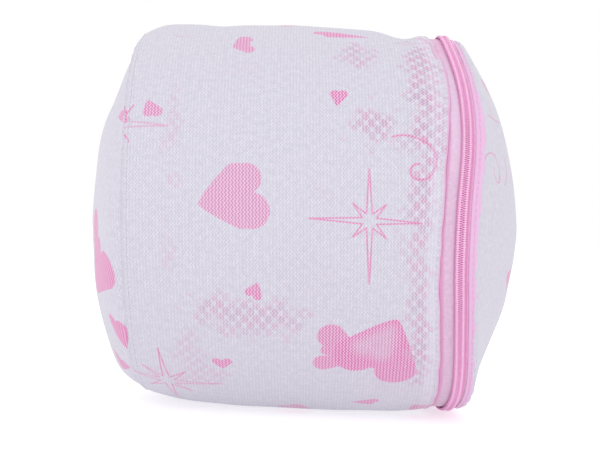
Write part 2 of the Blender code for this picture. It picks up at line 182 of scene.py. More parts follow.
def lid_edge(angle):
    """How far the pink reaches over the lid's edge, next to its rim."""
    return smooth(angle, LID_EDGE, period=360.0) + waves(0.0, angle, LID_EDGE_WAVES)


def wall_radius(x):
    """The drum narrows to both ends, most of all close to the base."""
    to_widest = np.clip((x - BASE_X) / (WIDEST_X - BASE_X), 0.0, 1.0)
    to_mouth = np.clip((x - WIDEST_X) / (MOUTH_X - WIDEST_X), 0.0, None)
    narrowing = np.where(x < WIDEST_X, 5.3 * (1.0 - to_widest) ** 4.75, 2.3 * to_mouth**3)
    return DRUM_R - narrowing


def corner_tuck(angle):
    """The corner by the base is slack at the top and rounds off there."""
    return 1.6 * hill(turn(angle, 94.0), 0.0, 30.0)


def relief(x, angle):
    """How far the cloth wall stands off its even drum shape."""
    x, angle = np.broadcast_arrays(x, angle)
    from_base = x - BASE_X
    from_mouth = MOUTH_X - x
    calm = np.clip(from_base / 14.0, 0.15, 1.0) * np.clip(from_mouth / 10.0, 0.12, 1.0)
    lift = waves(x, angle, WALL_WAVES) * calm
    # fine gathers beside both seams, uneven round the rim
    around = np.radians(angle)
    gather = 0.6 + 0.4 * np.sin(5 * around + 1.0) * np.sin(3 * around + 0.3)
    lift += gather * ripple(angle, 0.22, 52, 2.2, 4) * fade(from_base, 4.5)
    lift += gather * ripple(angle, 0.20, 47, 1.9, 5, 2.0) * fade(from_mouth, 4.0)
    for height, at, spread, at_x, spread_x in WALL_SLUMPS:
        lift += height * hill(turn(angle, at), 0.0, spread) * hill(x, at_x, spread_x)
    # the corner by the base turns in
    from_start = x - WALL_START_X
    lift -= corner_tuck(angle) * fade(from_start, 1.9)
    lift -= 0.45 * fade(from_start, 1.2)
    # the lengthwise seam at the back pulls the cloth in
    pull = 0.8 + 0.2 * np.sin(0.9 * x)
    lift -= 0.45 * hill(turn(angle, SEAM_AT), 0.0, 1.1) * pull
    # the edge sewn to the tape lies down on it
    at_tape = np.clip((x - 42.5) / 4.5, 0.0, 1.0)
    return lift - 0.30 * at_tape**2


def leaned(x, y, z):
    return np.stack(np.broadcast_arrays(x - LEAN * (z - AXIS_Z), y, z), -1)


def layer(x, angle, drop):
    """Points of a wall layer, drop mm under the outer face; it rests on z = 0."""
    x, angle = np.broadcast_arrays(x, angle)
    around = np.radians(angle)
    radius = wall_radius(x) + relief(x, angle) - drop
    over = AXIS_Z + radius * np.sin(around) - drop
    z = drop + 0.5 * (over + np.sqrt(over * over + 0.25))
    near_mouth = np.clip((x - 25.0) / (MOUTH_X - 25.0), 0.0, 1.0)
    x = x + mouth_stray(angle) * near_mouth**2
    return leaned(x, radius * np.cos(around), z)


def ring(x, radius, angle):
    """Points of the zip's round band, which keeps its circle."""
    around = np.radians(angle)
    radius = radius + 0.7 * hill(turn(angle, TOP_FOLD), 0.0, 12.0)
    z = AXIS_Z + radius * np.sin(around)
    return leaned(x + zip_stray(angle), radius * np.cos(around), z)


def base_curve(share):
    """Profile (x, radius) of the base; share is 0 at its centre and 1 at its rim."""
    half_depth, half_width = BASE_HALF_AXES
    depth = BASE_DEPTH * share**2
    inside = np.clip(1.0 - ((half_depth - depth) / half_depth) ** 2, 0, None)
    return -TIP_X + depth, half_width * np.sqrt(inside)


def lid_curve(share):
    """Profile of the lid; past 1 the cloth turns down over the tape's outer edge."""
    over = np.clip((share - 1.0) / 0.03, 0.0, 1.0)
    radius = LID_R * np.minimum(share, 1.0) ** 0.95 + 0.50 * np.sqrt(over)
    return TIP_X - LID_DEPTH * share**2, radius


Shell = namedtuple("Shell", "curve waves sag side")  # side: -1 at -x, +1 at +x
BASE = Shell(base_curve, BASE_WAVES, BASE_SAG, -1)
LID = Shell(lid_curve, LID_WAVES, LID_SAG, 1)


def dome(shell, share, angle, drop):
    """Points of a dome layer, drop mm under its outer face."""
    share, angle = np.broadcast_arrays(share, angle)
    x, radius = shell.curve(share)
    last_x, last_radius = shell.curve(np.clip(share - 0.004, 0, 1))
    step_x, step_radius = x - last_x, radius - last_radius
    step = np.hypot(step_x, step_radius) + 1e-9
    free = np.clip(1.0 - share**9, 0.0, 1.0)  # 0 at the sewn rim
    lift = waves(radius, angle, shell.waves) * np.minimum(share * 2.2, 1.0) * free
    lift = lift + ripple(angle, 0.16, 44, 2.0, 3) * np.exp(-np.abs(1 - share) / 0.035) - drop
    x = x + shell.side * np.abs(step_radius) / step * lift
    radius = np.maximum(radius + np.abs(step_x) / step * lift, 0.0)
    around = np.radians(angle)
    z = AXIS_Z + radius * np.sin(around)
    x = x - LEAN * (z - AXIS_Z) + smooth(z - AXIS_Z, shell.sag) * free
    if shell.side > 0:
        x = x + zip_stray(angle) * np.clip((share - 0.8) / 0.2, 0.0, 1.0)
    else:
        tuck = (0.22 + corner_tuck(angle)) * np.clip(share, 0.0, 1.0) ** 12
        radius = radius - tuck
        z = z - tuck * np.sin(around)
    return np.stack([x, radius * np.cos(around), z], -1)


# ------------------------------------------------------------- mesh builders
def link(name, points, faces, material, uv=None, smooth_faces=True):
    data = bpy.data.meshes.new(name)
    data.from_pydata((np.asarray(points) * MM).tolist(), [], faces)
    if uv is not None:
        uv_map = data.uv_layers.new(name="cloth")
        uv_map.data.foreach_set("uv", np.asarray(uv, np.float32).ravel())
    data.polygons.foreach_set("use_smooth", [smooth_faces] * len(data.polygons))
    data.update()
    obj = bpy.data.objects.new(name, data)
    bpy.context.scene.collection.objects.link(obj)
    data.materials.append(material)
    return obj


def outward(obj):
    """Drop points without faces and turn all faces outward."""
    mesh = bmesh.new()
    mesh.from_mesh(obj.data)
    loose = [v for v in mesh.verts if not v.link_faces]
    if loose:
        bmesh.ops.delete(mesh, geom=loose, context="VERTS")
    bmesh.ops.recalc_face_normals(mesh, faces=mesh.faces)
    if mesh.calc_volume(signed=True) < 0:
        bmesh.ops.reverse_faces(mesh, faces=mesh.faces)
    mesh.to_mesh(obj.data)
    mesh.free()
    return obj


def sheet(name, outer, inner, uv, material, wrap=False, pole=False):
    """Closed thin body between two grids of points (rows along, columns round).

    uv has one more column than the grids when they wrap.  With pole, the last
    row is one point."""
    rows, columns = outer.shape[:2]
    last = rows - 1
    quad_rows = range(last - 1 if pole else last)
    quad_columns = range(columns if wrap else columns - 1)
    uv = uv.tolist()
    faces, coords = [], []

    def face(*corners, flip=False):
        """Corners are (row, column, 0 for outer or 1 for inner)."""
        if flip:
            corners = corners[::-1]
        indices = []
        for i, j, ply in corners:
            column = 0 if pole and i == last else j % columns
            indices.append((ply * rows + i) * columns + column)
            coords.append(uv[i][j])
        faces.append(indices)

    for i in quad_rows:
        for j in quad_columns:
            face((i, j, 0), (i, j + 1, 0), (i + 1, j + 1, 0), (i + 1, j, 0))
            face((i, j, 1), (i + 1, j, 1), (i + 1, j + 1, 1), (i, j + 1, 1))
    if pole:
        for j in quad_columns:
            face((last - 1, j, 0), (last - 1, j + 1, 0), (last, j, 0))
            face((last - 1, j, 1), (last, j, 1), (last - 1, j + 1, 1))
    for i in [0] if pole else [0, last]:
        for j in quad_columns:
            face((i, j, 0), (i, j, 1), (i, j + 1, 1), (i, j + 1, 0), flip=i > 0)
    if not wrap:
        for j in (0, columns - 1):
            for i in quad_rows:
                face((i, j, 0), (i + 1, j, 0), (i + 1, j, 1), (i, j, 1), flip=j > 0)
    points = np.concatenate([outer.reshape(-1, 3), inner.reshape(-1, 3)])
    return outward(link(name, points, faces, material, coords))


def unit(vectors):
    return vectors / (np.linalg.norm(vectors, axis=2, keepdims=True) + 1e-12)


def tubes(name, paths, radii, material, sides, squash):
    """Many small closed tubes as one mesh.

    paths: (count, steps, 3) centre lines; radii: (steps,); squash: height over width."""
    count, steps = paths.shape[:2]
    ahead = unit(np.gradient(paths, axis=1))
    from_axis = paths - np.array([0.0, 0.0, AXIS_Z])
    from_axis[..., 0] = 0.0
    side = unit(np.cross(ahead, unit(from_axis)))
    up = np.cross(side, ahead)
    turns = (2 * math.pi * np.arange(sides) / sides)[:, None]
    rims = np.cos(turns) * side[:, :, None] + squash * np.sin(turns) * up[:, :, None]
    points = paths[:, :, None] + radii[None, :, None, None] * rims
    faces = []
    for c in range(count):
        start = c * steps * sides
        for s in range(steps - 1):
            here = start + s * sides
            beyond = here + sides
            for k in range(sides):
                m = (k + 1) % sides
                faces.append((here + k, beyond + k, beyond + m, here + m))
        end = start + (steps - 1) * sides
        faces.append(tuple(start + k for k in range(sides)))
        faces.append(tuple(end + k for k in reversed(range(sides))))
    return outward(link(name, points.reshape(-1, 3), faces, material))


def set_attribute(obj, name, values):
    """Float attribute with one value for each point."""
    made = obj.data.attributes.new(name, "FLOAT", "POINT")
    made.data.foreach_set("value", np.asarray(values, np.float32))


def finish(obj, body, node):
    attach(obj, body)
    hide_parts(node)


# --------------------------------------------------------------- node helpers
class Value:
    """A shader socket; arithmetic on it adds math nodes to its tree."""

    def __init__(self, make, socket):
        self.make = make
        self.socket = socket

    def join(self, operation, other):
        vector = self.socket.type == "VECTOR"
        return (self.make.vector if vector else self.make.math)(operation, self, other)

    def __add__(self, other):
        return self.join("ADD", other)

    def __sub__(self, other):
        return self.join("SUBTRACT", other)

    def __rsub__(self, other):
        return self.make.math("SUBTRACT", other, self)

    def __mul__(self, other):
        return self.join("MULTIPLY", other)

    def __truediv__(self, other):
        return self.join("DIVIDE", other)

    def __gt__(self, other):
        return self.join("GREATER_THAN", other)

    def __lt__(self, other):
        return self.join("LESS_THAN", other)

    def __abs__(self):
        return self.make.math("ABSOLUTE", self)


class Nodes:
    """Adds nodes to a tree; most calls return the new node's output as a Value."""

    def __init__(self, tree):
        self.tree = tree

    def add(self, kind, **props):
        node = self.tree.nodes.new(kind)
        for key, value in props.items():
            setattr(node, key, value)
        return node

    def out(self, node, key=0):
        return Value(self, node.outputs[key])

    def put(self, socket, value):
        if isinstance(value, Value):
            self.tree.links.new(value.socket, socket)
        elif isinstance(value, tuple) and len(value) == 3 and socket.type == "RGBA":
            socket.default_value = (*value, 1.0)
        else:
            socket.default_value = value

    def fill(self, node, values):
        for key, value in values.items():
            self.put(node.inputs[key], value)

    def math(self, operation, first, second=None, clamp=False):
        node = self.add("ShaderNodeMath", operation=operation, use_clamp=clamp)
        self.put(node.inputs[0], first)
        if second is not None:
            self.put(node.inputs[1], second)
        return self.out(node)

    def fold(self, operation, values):
        return reduce(lambda first, second: self.math(operation, first, second), values)

    def vector(self, operation, first, second=None):
        node = self.add("ShaderNodeVectorMath", operation=operation)
        self.put(node.inputs[0], first)
        if second is not None:
            self.put(node.inputs[1], second)
        number = operation in ("LENGTH", "DOT_PRODUCT", "DISTANCE")
        return self.out(node, "Value" if number else "Vector")

    def scale(self, vector, factor):
        node = self.add("ShaderNodeVectorMath", operation="SCALE")
        self.fill(node, {0: vector, "Scale": factor})
        return self.out(node, "Vector")

    def split(self, vector):
        """The x and y of a vector."""
        node = self.add("ShaderNodeSeparateXYZ")
        self.put(node.inputs[0], vector)
        return self.out(node, 0), self.out(node, 1)

    def flat(self, x, y):
        """A vector from x and y, with z = 0."""
        node = self.add("ShaderNodeCombineXYZ")
        self.fill(node, {0: x, 1: y})
        return self.out(node)

    def mix(self, factor, first, second):
        node = self.add("ShaderNodeMix", data_type="RGBA", blend_type="MIX")
        self.fill(node, {0: factor, 6: first, 7: second})
        return self.out(node, 2)

    def ramp(self, value, span, to=(0.0, 1.0), kind="SMOOTHSTEP"):
        node = self.add("ShaderNodeMapRange", interpolation_type=kind, clamp=True)
        for socket, item in zip(node.inputs, (value, *span, *to)):
            self.put(socket, item)
        return self.out(node)

    def rough(self, grain, low, high):
        """Roughness between low and high that follows the grain."""
        return self.ramp(grain, (0.2, 0.8), (low, high))

    def noise(self, vector, scale, detail=2.0, rough=0.5):
        node = self.add("ShaderNodeTexNoise")
        self.fill(node, {"Vector": vector, "Scale": scale, "Detail": detail, "Roughness": rough})
        return self.out(node)

    def bands(self, value, pitch):
        """Even waves between 0 and 1."""
        return self.math("SINE", value * (2 * math.pi / pitch)) * 0.5 + 0.5

    def uv(self):
        return self.out(self.add("ShaderNodeUVMap", uv_map="cloth"))

    def object_place(self):
        return self.out(self.add("ShaderNodeTexCoord"), "Object")

    def attribute(self, name):
        return self.out(self.add("ShaderNodeAttribute", attribute_name=name), "Fac")

    def group(self, tree, **values):
        node = self.add("ShaderNodeGroup", node_tree=tree)
        self.fill(node, values)
        return self.out(node)

    def bump(self, height, strength, distance):
        node = self.add("ShaderNodeBump")
        self.fill(node, {"Strength": strength, "Distance": distance, "Height": height})
        return self.out(node)


def new_group(name, vectors, floats=""):
    """Node group with one output; returns its nodes, its inputs and the output socket."""
    tree = bpy.data.node_groups.new(name, "ShaderNodeTree")
    for keys, kind in ((vectors, "NodeSocketVector"), (floats, "NodeSocketFloat")):
        for key in keys.split():
            tree.interface.new_socket(name=key, in_out="INPUT", socket_type=kind)
    tree.interface.new_socket(name="Out", in_out="OUTPUT", socket_type="NodeSocketFloat")
    entry = tree.nodes.new("NodeGroupInput")
    leave = tree.nodes.new("NodeGroupOutput")
    make = Nodes(tree)
    inputs = [Value(make, socket) for socket in entry.outputs if socket.name]
    return make, inputs, leave.inputs[0]


def to_line(make, offset, axis):
    """Share along the axis, 0 to 1, nearest to the offset, and the distance there."""
    reach = make.vector("DOT_PRODUCT", offset, axis)
    whole = make.vector("DOT_PRODUCT", axis, axis)
    share = make.math("DIVIDE", reach, whole, clamp=True)
    return share, make.vector("LENGTH", offset - make.scale(axis, share))


def heart_tree():
    """Distance from P to a heart of tip T, lobes A and B, their radii and bowed sides."""
    make, inputs, out = new_group("heart", vectors="P T A B", floats="RA RB Bow")
    place, tip, first, second, first_radius, second_radius, bow = inputs
    offset = place - tip

    def lobe(centre, radius):
        share, away = to_line(make, offset, centre - tip)
        return away - radius * make.math("POWER", share, bow)

    middle = make.scale(first + second, 0.5)
    spread = make.vector("DISTANCE", first, second) * 0.19
    both = make.math("MINIMUM", lobe(first, first_radius), lobe(second, second_radius))
    make.put(out, make.math("MINIMUM", both, lobe(middle, spread)))
    return make.tree


def stroke_tree():
    """Distance from P to the straight line between A and B."""
    make, (place, start, end), out = new_group("stroke", vectors="P A B")
    _, away = to_line(make, place - start, end - start)
    make.put(out, away)
    return make.tree


def arc_tree():
    """Distance from P to an arc about C of radius R.

    D points to its middle; Limit is the cosine of its half angle."""
    make, inputs, out = new_group("arc", vectors="P C D", floats="R Limit")
    place, centre, towards, radius, limit = inputs
    offset = place - centre
    length = make.vector("LENGTH", offset)
    outside = make.vector("DOT_PRODUCT", offset, towards) < length * limit
    make.put(out, abs(length - radius) + outside * 50.0)
    return make.tree


HEART, STROKE, ARC = heart_tree(), stroke_tree(), arc_tree()


def star_tree():
    """Distance from P to the outline of an eight-armed star at C.

    Arms E, W, N and S reach towards +x, -x, -y and +y; Small is the length of the four
    slanted ones and Core the radius of the corners between the arms."""
    make, inputs, out = new_group("star", vectors="P C", floats="Turn E W N S Small Core")
    place, centre, angle, east, west, north, south, small, core = inputs
    turned = make.add("ShaderNodeVectorRotate", rotation_type="Z_AXIS")
    make.fill(turned, {"Vector": place - centre, "Angle": angle})
    x, y = make.split(make.out(turned))

    def choose(test, yes, no):
        return test * yes + (1.0 - test) * no

    right = x > 0.0
    down = y > 0.0
    size_x, size_y = abs(x), abs(y)
    steep = size_y > size_x
    arm = choose(steep, choose(down, south, north), choose(right, east, west))
    # one eighth of the plane stands for all
    larger = make.math("MAXIMUM", size_x, size_y)
    smaller = make.math("MINIMUM", size_x, size_y)
    folded_place = make.flat(larger, smaller)
    corner_angle = math.radians(24)
    corner = make.flat(core * math.cos(corner_angle), core * math.sin(corner_angle))
    slant = small * math.sqrt(0.5)
    main_side = make.group(STROKE, P=folded_place, A=corner, B=make.flat(arm, 0.0))
    slant_side = make.group(STROKE, P=folded_place, A=corner, B=make.flat(slant, slant))
    make.put(out, make.math("MINIMUM", main_side, slant_side))
    return make.tree


STAR = star_tree()

# -------------------------------------------------------------------- prints
# Prints lie on the cloth's own x and y, in mm.  On the wall x is the drum's x and y
# runs round it from the front, downwards; on the domes they are the bag's y and the
# height over the axis.
# Hearts: (tip, lobe, lobe, radius, radius, strength)
WALL_HEARTS = (
    ((-36.4, -2.8), (-20.1, -12.5), (-18.4, -1.3), 5.3, 6.4, 0.70),
    ((-36.4, -2.8), (-23.4, -12.0), (-21.8, -0.8), 5.6, 5.9, 0.70),
    ((32.2, 35.8), (32.2, 60.2), (18.2, 51.7), 7.4, 8.4, 1.0),
    ((21.0, 53.5), (9.4, 43.8), (6.4, 56.2), 5.2, 3.6, 0.86),
    ((11.2, -41.3), (10.5, -46.4), (13.4, -46.6), 1.75, 1.7, 0.95),
    ((-16.1, 23.6), (-16.4, 28.5), (-19.2, 27.1), 1.6, 1.5, 0.9),
    ((-29.5, 62.4), (-31.5, 58.4), (-27.6, 58.0), 1.7, 1.7, 0.9),
    ((-26.2, -71.6), (-22.0, -77.4), (-20.6, -69.8), 3.0, 2.5, 0.85),
    ((-55.2, -42.4), (-54.6, -37.2), (-51.8, -37.0), 2.2, 2.2, 0.8),
    ((-66.6, -32.4), (-63.8, -37.6), (-62.6, -34.8), 1.8, 1.3, 0.9),
    ((17.6, 83.0), (26.0, 81.4), (24.6, 84.2), 1.6, 1.4, 0.95),
    ((40.0, 90.0), (42.0, 99.0), (46.0, 96.0), 2.6, 2.6, 0.9),
    ((24.0, -85.6), (5.6, -88.6), (9.4, -86.0), 2.4, 2.6, 1.0),
    ((-2.0, -106.0), (-9.0, -108.0), (-8.0, -103.0), 2.2, 2.2, 0.7),
    ((2.5, 99.5), (-3.0, 94.0), (-8.0, 97.0), 2.6, 2.6, 0.7),
)
BASE_HEARTS = (
    ((-32.0, -31.0), (-56.0, -22.0), (-41.0, -6.5), 6.8, 6.4, 1.0),
    ((-60.6, 30.4), (-58.6, 34.6), (-55.6, 33.6), 1.8, 1.6, 0.9),
    ((-46.0, -50.5), (-52.6, -42.6), (-48.6, -40.4), 2.6, 2.4, 1.0),
    ((-27.0, -60.2), (-33.8, -57.4), (-32.0, -54.2), 1.8, 1.8, 1.0),
    ((8.0, 20.0), (16.0, 34.0), (24.0, 26.0), 6.0, 6.0, 0.9),
    ((30.0, -18.0), (35.0, -24.0), (37.0, -20.0), 2.0, 2.0, 0.9),
    ((-8.0, 50.0), (-12.0, 54.0), (-9.0, 56.4), 1.8, 1.8, 0.9),
    ((50.0, 6.0), (55.0, 9.0), (55.0, 5.0), 1.9, 1.9, 0.85),
    ((2.0, -36.0), (-3.0, -44.0), (4.0, -46.0), 3.4, 3.4, 0.85),
)
LID_HEARTS = (
    ((-14.0, 34.0), (2.0, 26.0), (4.0, 36.0), 5.5, 5.5, 0.9),
    ((22.0, -8.0), (26.0, -23.0), (33.0, -17.0), 5.0, 5.0, 0.9),
    ((-29.0, -24.0), (-32.0, -18.4), (-28.6, -17.6), 1.8, 1.8, 0.9),
    ((44.0, 24.0), (40.0, 29.4), (43.6, 30.0), 1.9, 1.9, 0.85),
    ((-4.0, -52.0), (1.0, -56.6), (2.4, -52.8), 1.9, 1.9, 0.85),
    ((-34.0, 48.0), (-38.0, 52.0), (-34.4, 53.0), 1.7, 1.7, 0.85),
)
# Weakens the wall's hearts around it: (tip, lobe, lobe, radius, radius)
PALE_HEART = ((30.0, 40.5), (27.0, 50.0), (20.5, 48.0), 2.4, 2.0)

# Stars: (centre, turn, arms E, W, N and S, slanted arms, core)
WALL_STARS = (
    ((21.9, 0.5), 0.0, 17.9, 20.6, 17.9, 21.9, 8.2, 2.6),
    ((-50.5, 75.6), 0.10, 20.5, 16.5, 20.5, 22.0, 11.5, 3.0),
)
BASE_STARS = (((22.0, 2.0), 0.3, 17.0, 18.0, 17.0, 19.0, 8.0, 2.6),)
LID_STARS = (((-4.0, -16.0), 0.1, 17.0, 18.0, 17.0, 19.0, 8.0, 2.6),)

# Lines through two or more points
WALL_LINES = (
    ((33.6, -86.0), (45.6, -88.7)),
    ((-62.4, -37.6), (-60.2, -40.6)),
    ((-62.8, -28.4), (-61.2, -25.4)),
)
WALL_FAINT = (
    ((-65.0, -34.4), (-47.4, -30.7)),
    ((-63.5, -31.4), (-47.4, -30.7)),
    ((-49.0, -84.2), (-42.4, -80.6)),
)
WALL_THICK = (((42.6, -99.0), (46.0, -86.0), (45.6, -73.0)),)
LID_LINES = (
    ((-55.0, 39.4), (-37.0, 38.0)),
    ((-50.0, 44.0), (-47.0, 39.5)),
    ((-37.6, 34.4), (-35.2, 30.2)),
)
# Arcs: (centre x, centre y, radius, from angle, to angle)
WALL_ARCS = (
    (34.05, -20.27, 10.16, -116, -54),
    (35.73, -21.86, 8.16, -58, 40),
    (38.64, -19.51, 4.83, 30, 117),
    (38.56, -17.31, 2.89, 78, 279),
)
LID_ARCS = (
    (-60.43, 12.56, 12.83, 59, 129),
    (-57.60, 20.53, 4.88, -58, 80),
    (-56.41, 18.52, 3.29, -220, 0),
    (-52.18, 22.94, 8.75, -72, 21),
    (10.0, 8.0, 7.0, -60, 90),
    (9.0, 11.5, 3.5, 80, 290),
    (28.0, 36.0, 8.0, -10, 150),
)
# Patches where the net shows through the wall with painted shade in its cells: (centre), (half
# sizes), strength
WALL_PATCHES = (
    ((40.5, -60.0), (4.6, 24.0), 1.0),
    ((41.5, -34.0), (5.4, 14.0), 1.0),
    ((39.5, -8.0), (4.2, 16.0), 0.75),
    ((39.0, 22.0), (3.6, 34.0), 0.62),
    ((40.5, 48.0), (2.6, 22.0), 0.85),
    ((19.5, -69.5), (5.6, 7.0), 0.85),
    ((24.0, -34.0), (6.2, 6.4), 0.80),
    ((33.0, -28.0), (3.6, 4.0), 0.45),
    ((-29.0, 35.0), (9.0, 5.4), 0.66),
    ((-13.0, 37.0), (11.0, 6.4), 0.66),
    ((-24.0, 41.5), (10.0, 4.0), 0.48),
    ((-41.0, 56.0), (5.0, 12.0), 0.40),
    ((-36.0, 68.0), (7.0, 6.0), 0.50),
    ((-45.4, -33.0), (2.2, 11.0), 0.42),
    ((-45.6, -11.5), (2.4, 3.4), 0.34),
    ((-49.4, -24.0), (2.0, 3.0), 0.25),
    ((-47.0, 14.0), (2.2, 9.0), 0.30),
    ((-22.0, -57.0), (6.0, 4.0), 0.14),
    ((6.0, -8.0), (4.0, 3.0), 0.16),
    ((33.0, 8.0), (3.0, 4.0), 0.25),
    ((-44.0, 72.0), (9.0, 6.0), 0.35),
    ((33.0, 62.0), (10.0, 9.0), 0.14),
    ((2.0, 20.0), (12.0, 9.0), 0.10),
    ((4.0, 150.0), (26.0, 14.0), 0.7),
    ((-30.0, -165.0), (16.0, 20.0), 0.6),
    ((25.0, -215.0), (10.0, 26.0), 0.7),
    ((-20.0, 190.0), (14.0, 12.0), 0.5),
)


def point(pair):
    return (*pair, 0.0)


def heart_distance(make, place, tip, first, second, first_radius, second_radius, bow):
    return make.group(
        HEART, P=place, T=point(tip), A=point(first), B=point(second),
        RA=first_radius, RB=second_radius, Bow=bow,
    )


def hearts_mask(make, place, rows):
    """Strength 0 to 1 of the printed hearts."""
    masks = []
    for *shape, strength in rows:
        bow = 0.68 if shape[3] > 5.0 else 0.78
        distance = heart_distance(make, place, *shape, bow=bow)
        masks.append(make.ramp(distance, (-0.12, 0.12), (1.0, 0.0)) * strength)
    return make.fold("MAXIMUM", masks)


def stars_mask(make, place, rows):
    """Strength of the stars' printed outlines."""
    distances = [
        make.group(
            STAR, P=place, C=point(centre), Turn=angle,
            E=east, W=west, N=north, S=south, Small=small, Core=core,
        )
        for centre, angle, east, west, north, south, small, core in rows
    ]
    return make.ramp(make.fold("MINIMUM", distances), (0.14, 0.40), (1.0, 0.0)) * 0.95


def strokes_mask(make, place, lines, arcs=(), width=0.26, soft=0.14, strength=0.95):
    """Strength of printed lines and arcs; width is half the line's own."""
    distances = [
        make.group(STROKE, P=place, A=point(start), B=point(end))
        for line in lines
        for start, end in zip(line, line[1:])
    ]
    for x, y, radius, low, high in arcs:
        middle = math.radians((low + high) / 2)
        half = math.radians((high - low) / 2)
        towards = (math.cos(middle), math.sin(middle), 0.0)
        distances.append(
            make.group(ARC, P=place, C=(x, y, 0.0), D=towards, R=radius, Limit=math.cos(half))
        )
    nearest = make.fold("MINIMUM", distances)
    return make.ramp(nearest, (width - soft, width + soft), (1.0, 0.0)) * strength


def folded(make, place):
    """Print position on the wall: the pattern repeats every half girth."""
    half_girth = math.pi * DRUM_R
    x, y = make.split(place)
    again = (make.math("FRACT", y / half_girth + 0.5) - 0.5) * half_girth
    return make.flat(x, again)


def wall_prints(make, place):
    place = folded(make, place)
    hearts = hearts_mask(make, place, WALL_HEARTS)
    stars = stars_mask(make, place, WALL_STARS)
    pale = heart_distance(make, place, *PALE_HEART, bow=0.8)
    hearts = hearts * make.ramp(pale, (-1.5, 5.0), (0.55, 1.0))
    thick = strokes_mask(make, place, WALL_THICK, width=0.75, soft=0.40, strength=0.75)
    faint = strokes_mask(make, place, WALL_FAINT, width=0.34, soft=0.22, strength=0.55)
    fine = strokes_mask(make, place, WALL_LINES, WALL_ARCS, width=0.36, soft=0.18)
    lines = make.math("MAXIMUM", stars, fine)
    return hearts, make.math("MAXIMUM", make.math("MAXIMUM", thick, faint), lines)


def base_prints(make, place):
    return hearts_mask(make, place, BASE_HEARTS), stars_mask(make, place, BASE_STARS)


def lid_prints(make, place):
    stars = stars_mask(make, place, LID_STARS)
    strokes = strokes_mask(make, place, LID_LINES, LID_ARCS)
    return hearts_mask(make, place, LID_HEARTS), make.math("MAXIMUM", stars, strokes)


def touching(x, y):
    """Where the two cloth layers touch, so that the net's cells show through with painted shade.
    """
    ragged = (
        1.0
        + 0.22 * np.sin(0.55 * x + 0.31 * y)
        + 0.18 * np.sin(0.83 * y - 0.4 * x + 1.7)
        + 0.12 * np.sin(1.7 * y + 1.1 * x)
    )
    total = np.zeros_like(x)
    for (centre_x, centre_y), (half_x, half_y), strength in WALL_PATCHES:
        away = np.hypot((x - centre_x) / half_x, (y - centre_y) / half_y) * ragged
        total = np.maximum(total, strength * np.clip((1.32 - away) / 0.62, 0.0, 1.0))
    return total


# ------------------------------------------------------------------ materials
WHITE = (0.660, 0.648, 0.715)
# darker mesh colour: painted shade in the knit's gaps, also mixed in by random fuzz
GAP_SHADE_AND_FUZZ = (0.440, 0.420, 0.505)
PINK = (0.660, 0.235, 0.440)
# pink in the knit's gaps: painted shade
PINK_GAP_SHADE = (0.540, 0.150, 0.345)
THREAD_PITCH = 1.15  # between the knit's wales
ZIG_PERIOD = 1.42
CELL_X, CELL_Y = 4.2, 5.34  # pitches of the net's honeycomb
IN_PLANE = (1.0, 1.0, 0.0)
GREY_TAPE = {"colour": (0.62, 0.60, 0.69), "dark": (0.52, 0.49, 0.58)}


def new_material(name):
    material = bpy.data.materials.new(name)
    material.use_nodes = True
    return material, Nodes(material.node_tree), material.node_tree.nodes["Principled BSDF"]


def knit(make, x, y):
    """The warp-knit's zig-zag wales: 0 in the gap, 1 on the thread; the colours paint shade into
    the gaps.
    """
    zig = abs(make.math("FRACT", y / ZIG_PERIOD) - 0.5)
    return make.bands(x + zig * (THREAD_PITCH * 1.20), THREAD_PITCH)


def honeycomb(make, x, y, height):
    """Distance to the nearest hole of the net; height scales a cell's y."""
    cell_x = make.math("FRACT", x / CELL_X) - 0.5
    cell_y = make.math("FRACT", y / CELL_Y) - 0.5
    between_x = 0.5 - abs(cell_x)
    between_y = 0.5 - abs(cell_y)
    distances = [
        make.vector("LENGTH", make.flat(hole_x * CELL_X, hole_y * height))
        for hole_x, hole_y in ((cell_x, cell_y), (between_x, between_y))
    ]
    return make.fold("MINIMUM", distances)


def show_net(make, place, x, y, thread, colour, height):
    """The lining's cells, where the layers touch: paler where its white strands fill the wall's
    gaps, with painted shade in the cells where the bag's dark inside shows through.
    """
    distance = honeycomb(make, x, y, height=CELL_Y * 0.8)
    cell = make.ramp(distance, (1.15, 1.75), (1.0, 0.0))
    ragged = make.ramp(make.noise(place, scale=0.11), (0.28, 0.52), (0.55, 1.0))
    area = make.attribute("touch") * ragged
    gap = make.ramp(thread, (0.05, 0.62), (1.0, 0.0))
    cell_shade = cell * gap * area
    hole_shade = area * make.ramp(cell, (0.0, 1.0), (-0.20, 0.38), "LINEAR")
    drift = make.ramp(make.noise(place, scale=0.22), (0.32, 0.66))
    # the net colour is painted shade: the bag's dark inside showing through the lining's holes
    net = make.mix(drift, (0.44, 0.31, 0.45), (0.56, 0.26, 0.43))
    colour = make.mix(area * 0.22, colour, (0.70, 0.66, 0.76))
    colour = make.mix(make.math("ADD", cell_shade * 0.85, hole_shade, clamp=True), colour, net)
    return colour, height - cell_shade * 0.5


def wall_hem(make, x, fuzz, colour):
    """A paler hem by the mouth with a pink edge."""
    hem = make.ramp(x, (41.6, 42.4), (0.0, 0.30)) * make.ramp(fuzz, (0.3, 0.7), (0.4, 1.0))
    colour = make.mix(hem, colour, (0.72, 0.66, 0.78))
    return make.mix(make.ramp(x, (46.25, 46.75), (0.0, 0.85)), colour, (0.70, 0.36, 0.58))


def lid_rim(make, place, colour):
    """The tape's pink shows through the lid's edge, with an uneven border."""
    edge = make.attribute("edge")
    ragged = (make.noise(place, scale=0.40, detail=3.0, rough=0.6) - 0.5) * 2.0
    shown = make.ramp(edge + ragged, (-0.1, 0.45), (0.0, 0.92))
    fuzz = make.noise(place, scale=2.2)
    return make.mix(shown, colour, make.mix(fuzz, (0.66, 0.36, 0.59), (0.77, 0.48, 0.70)))


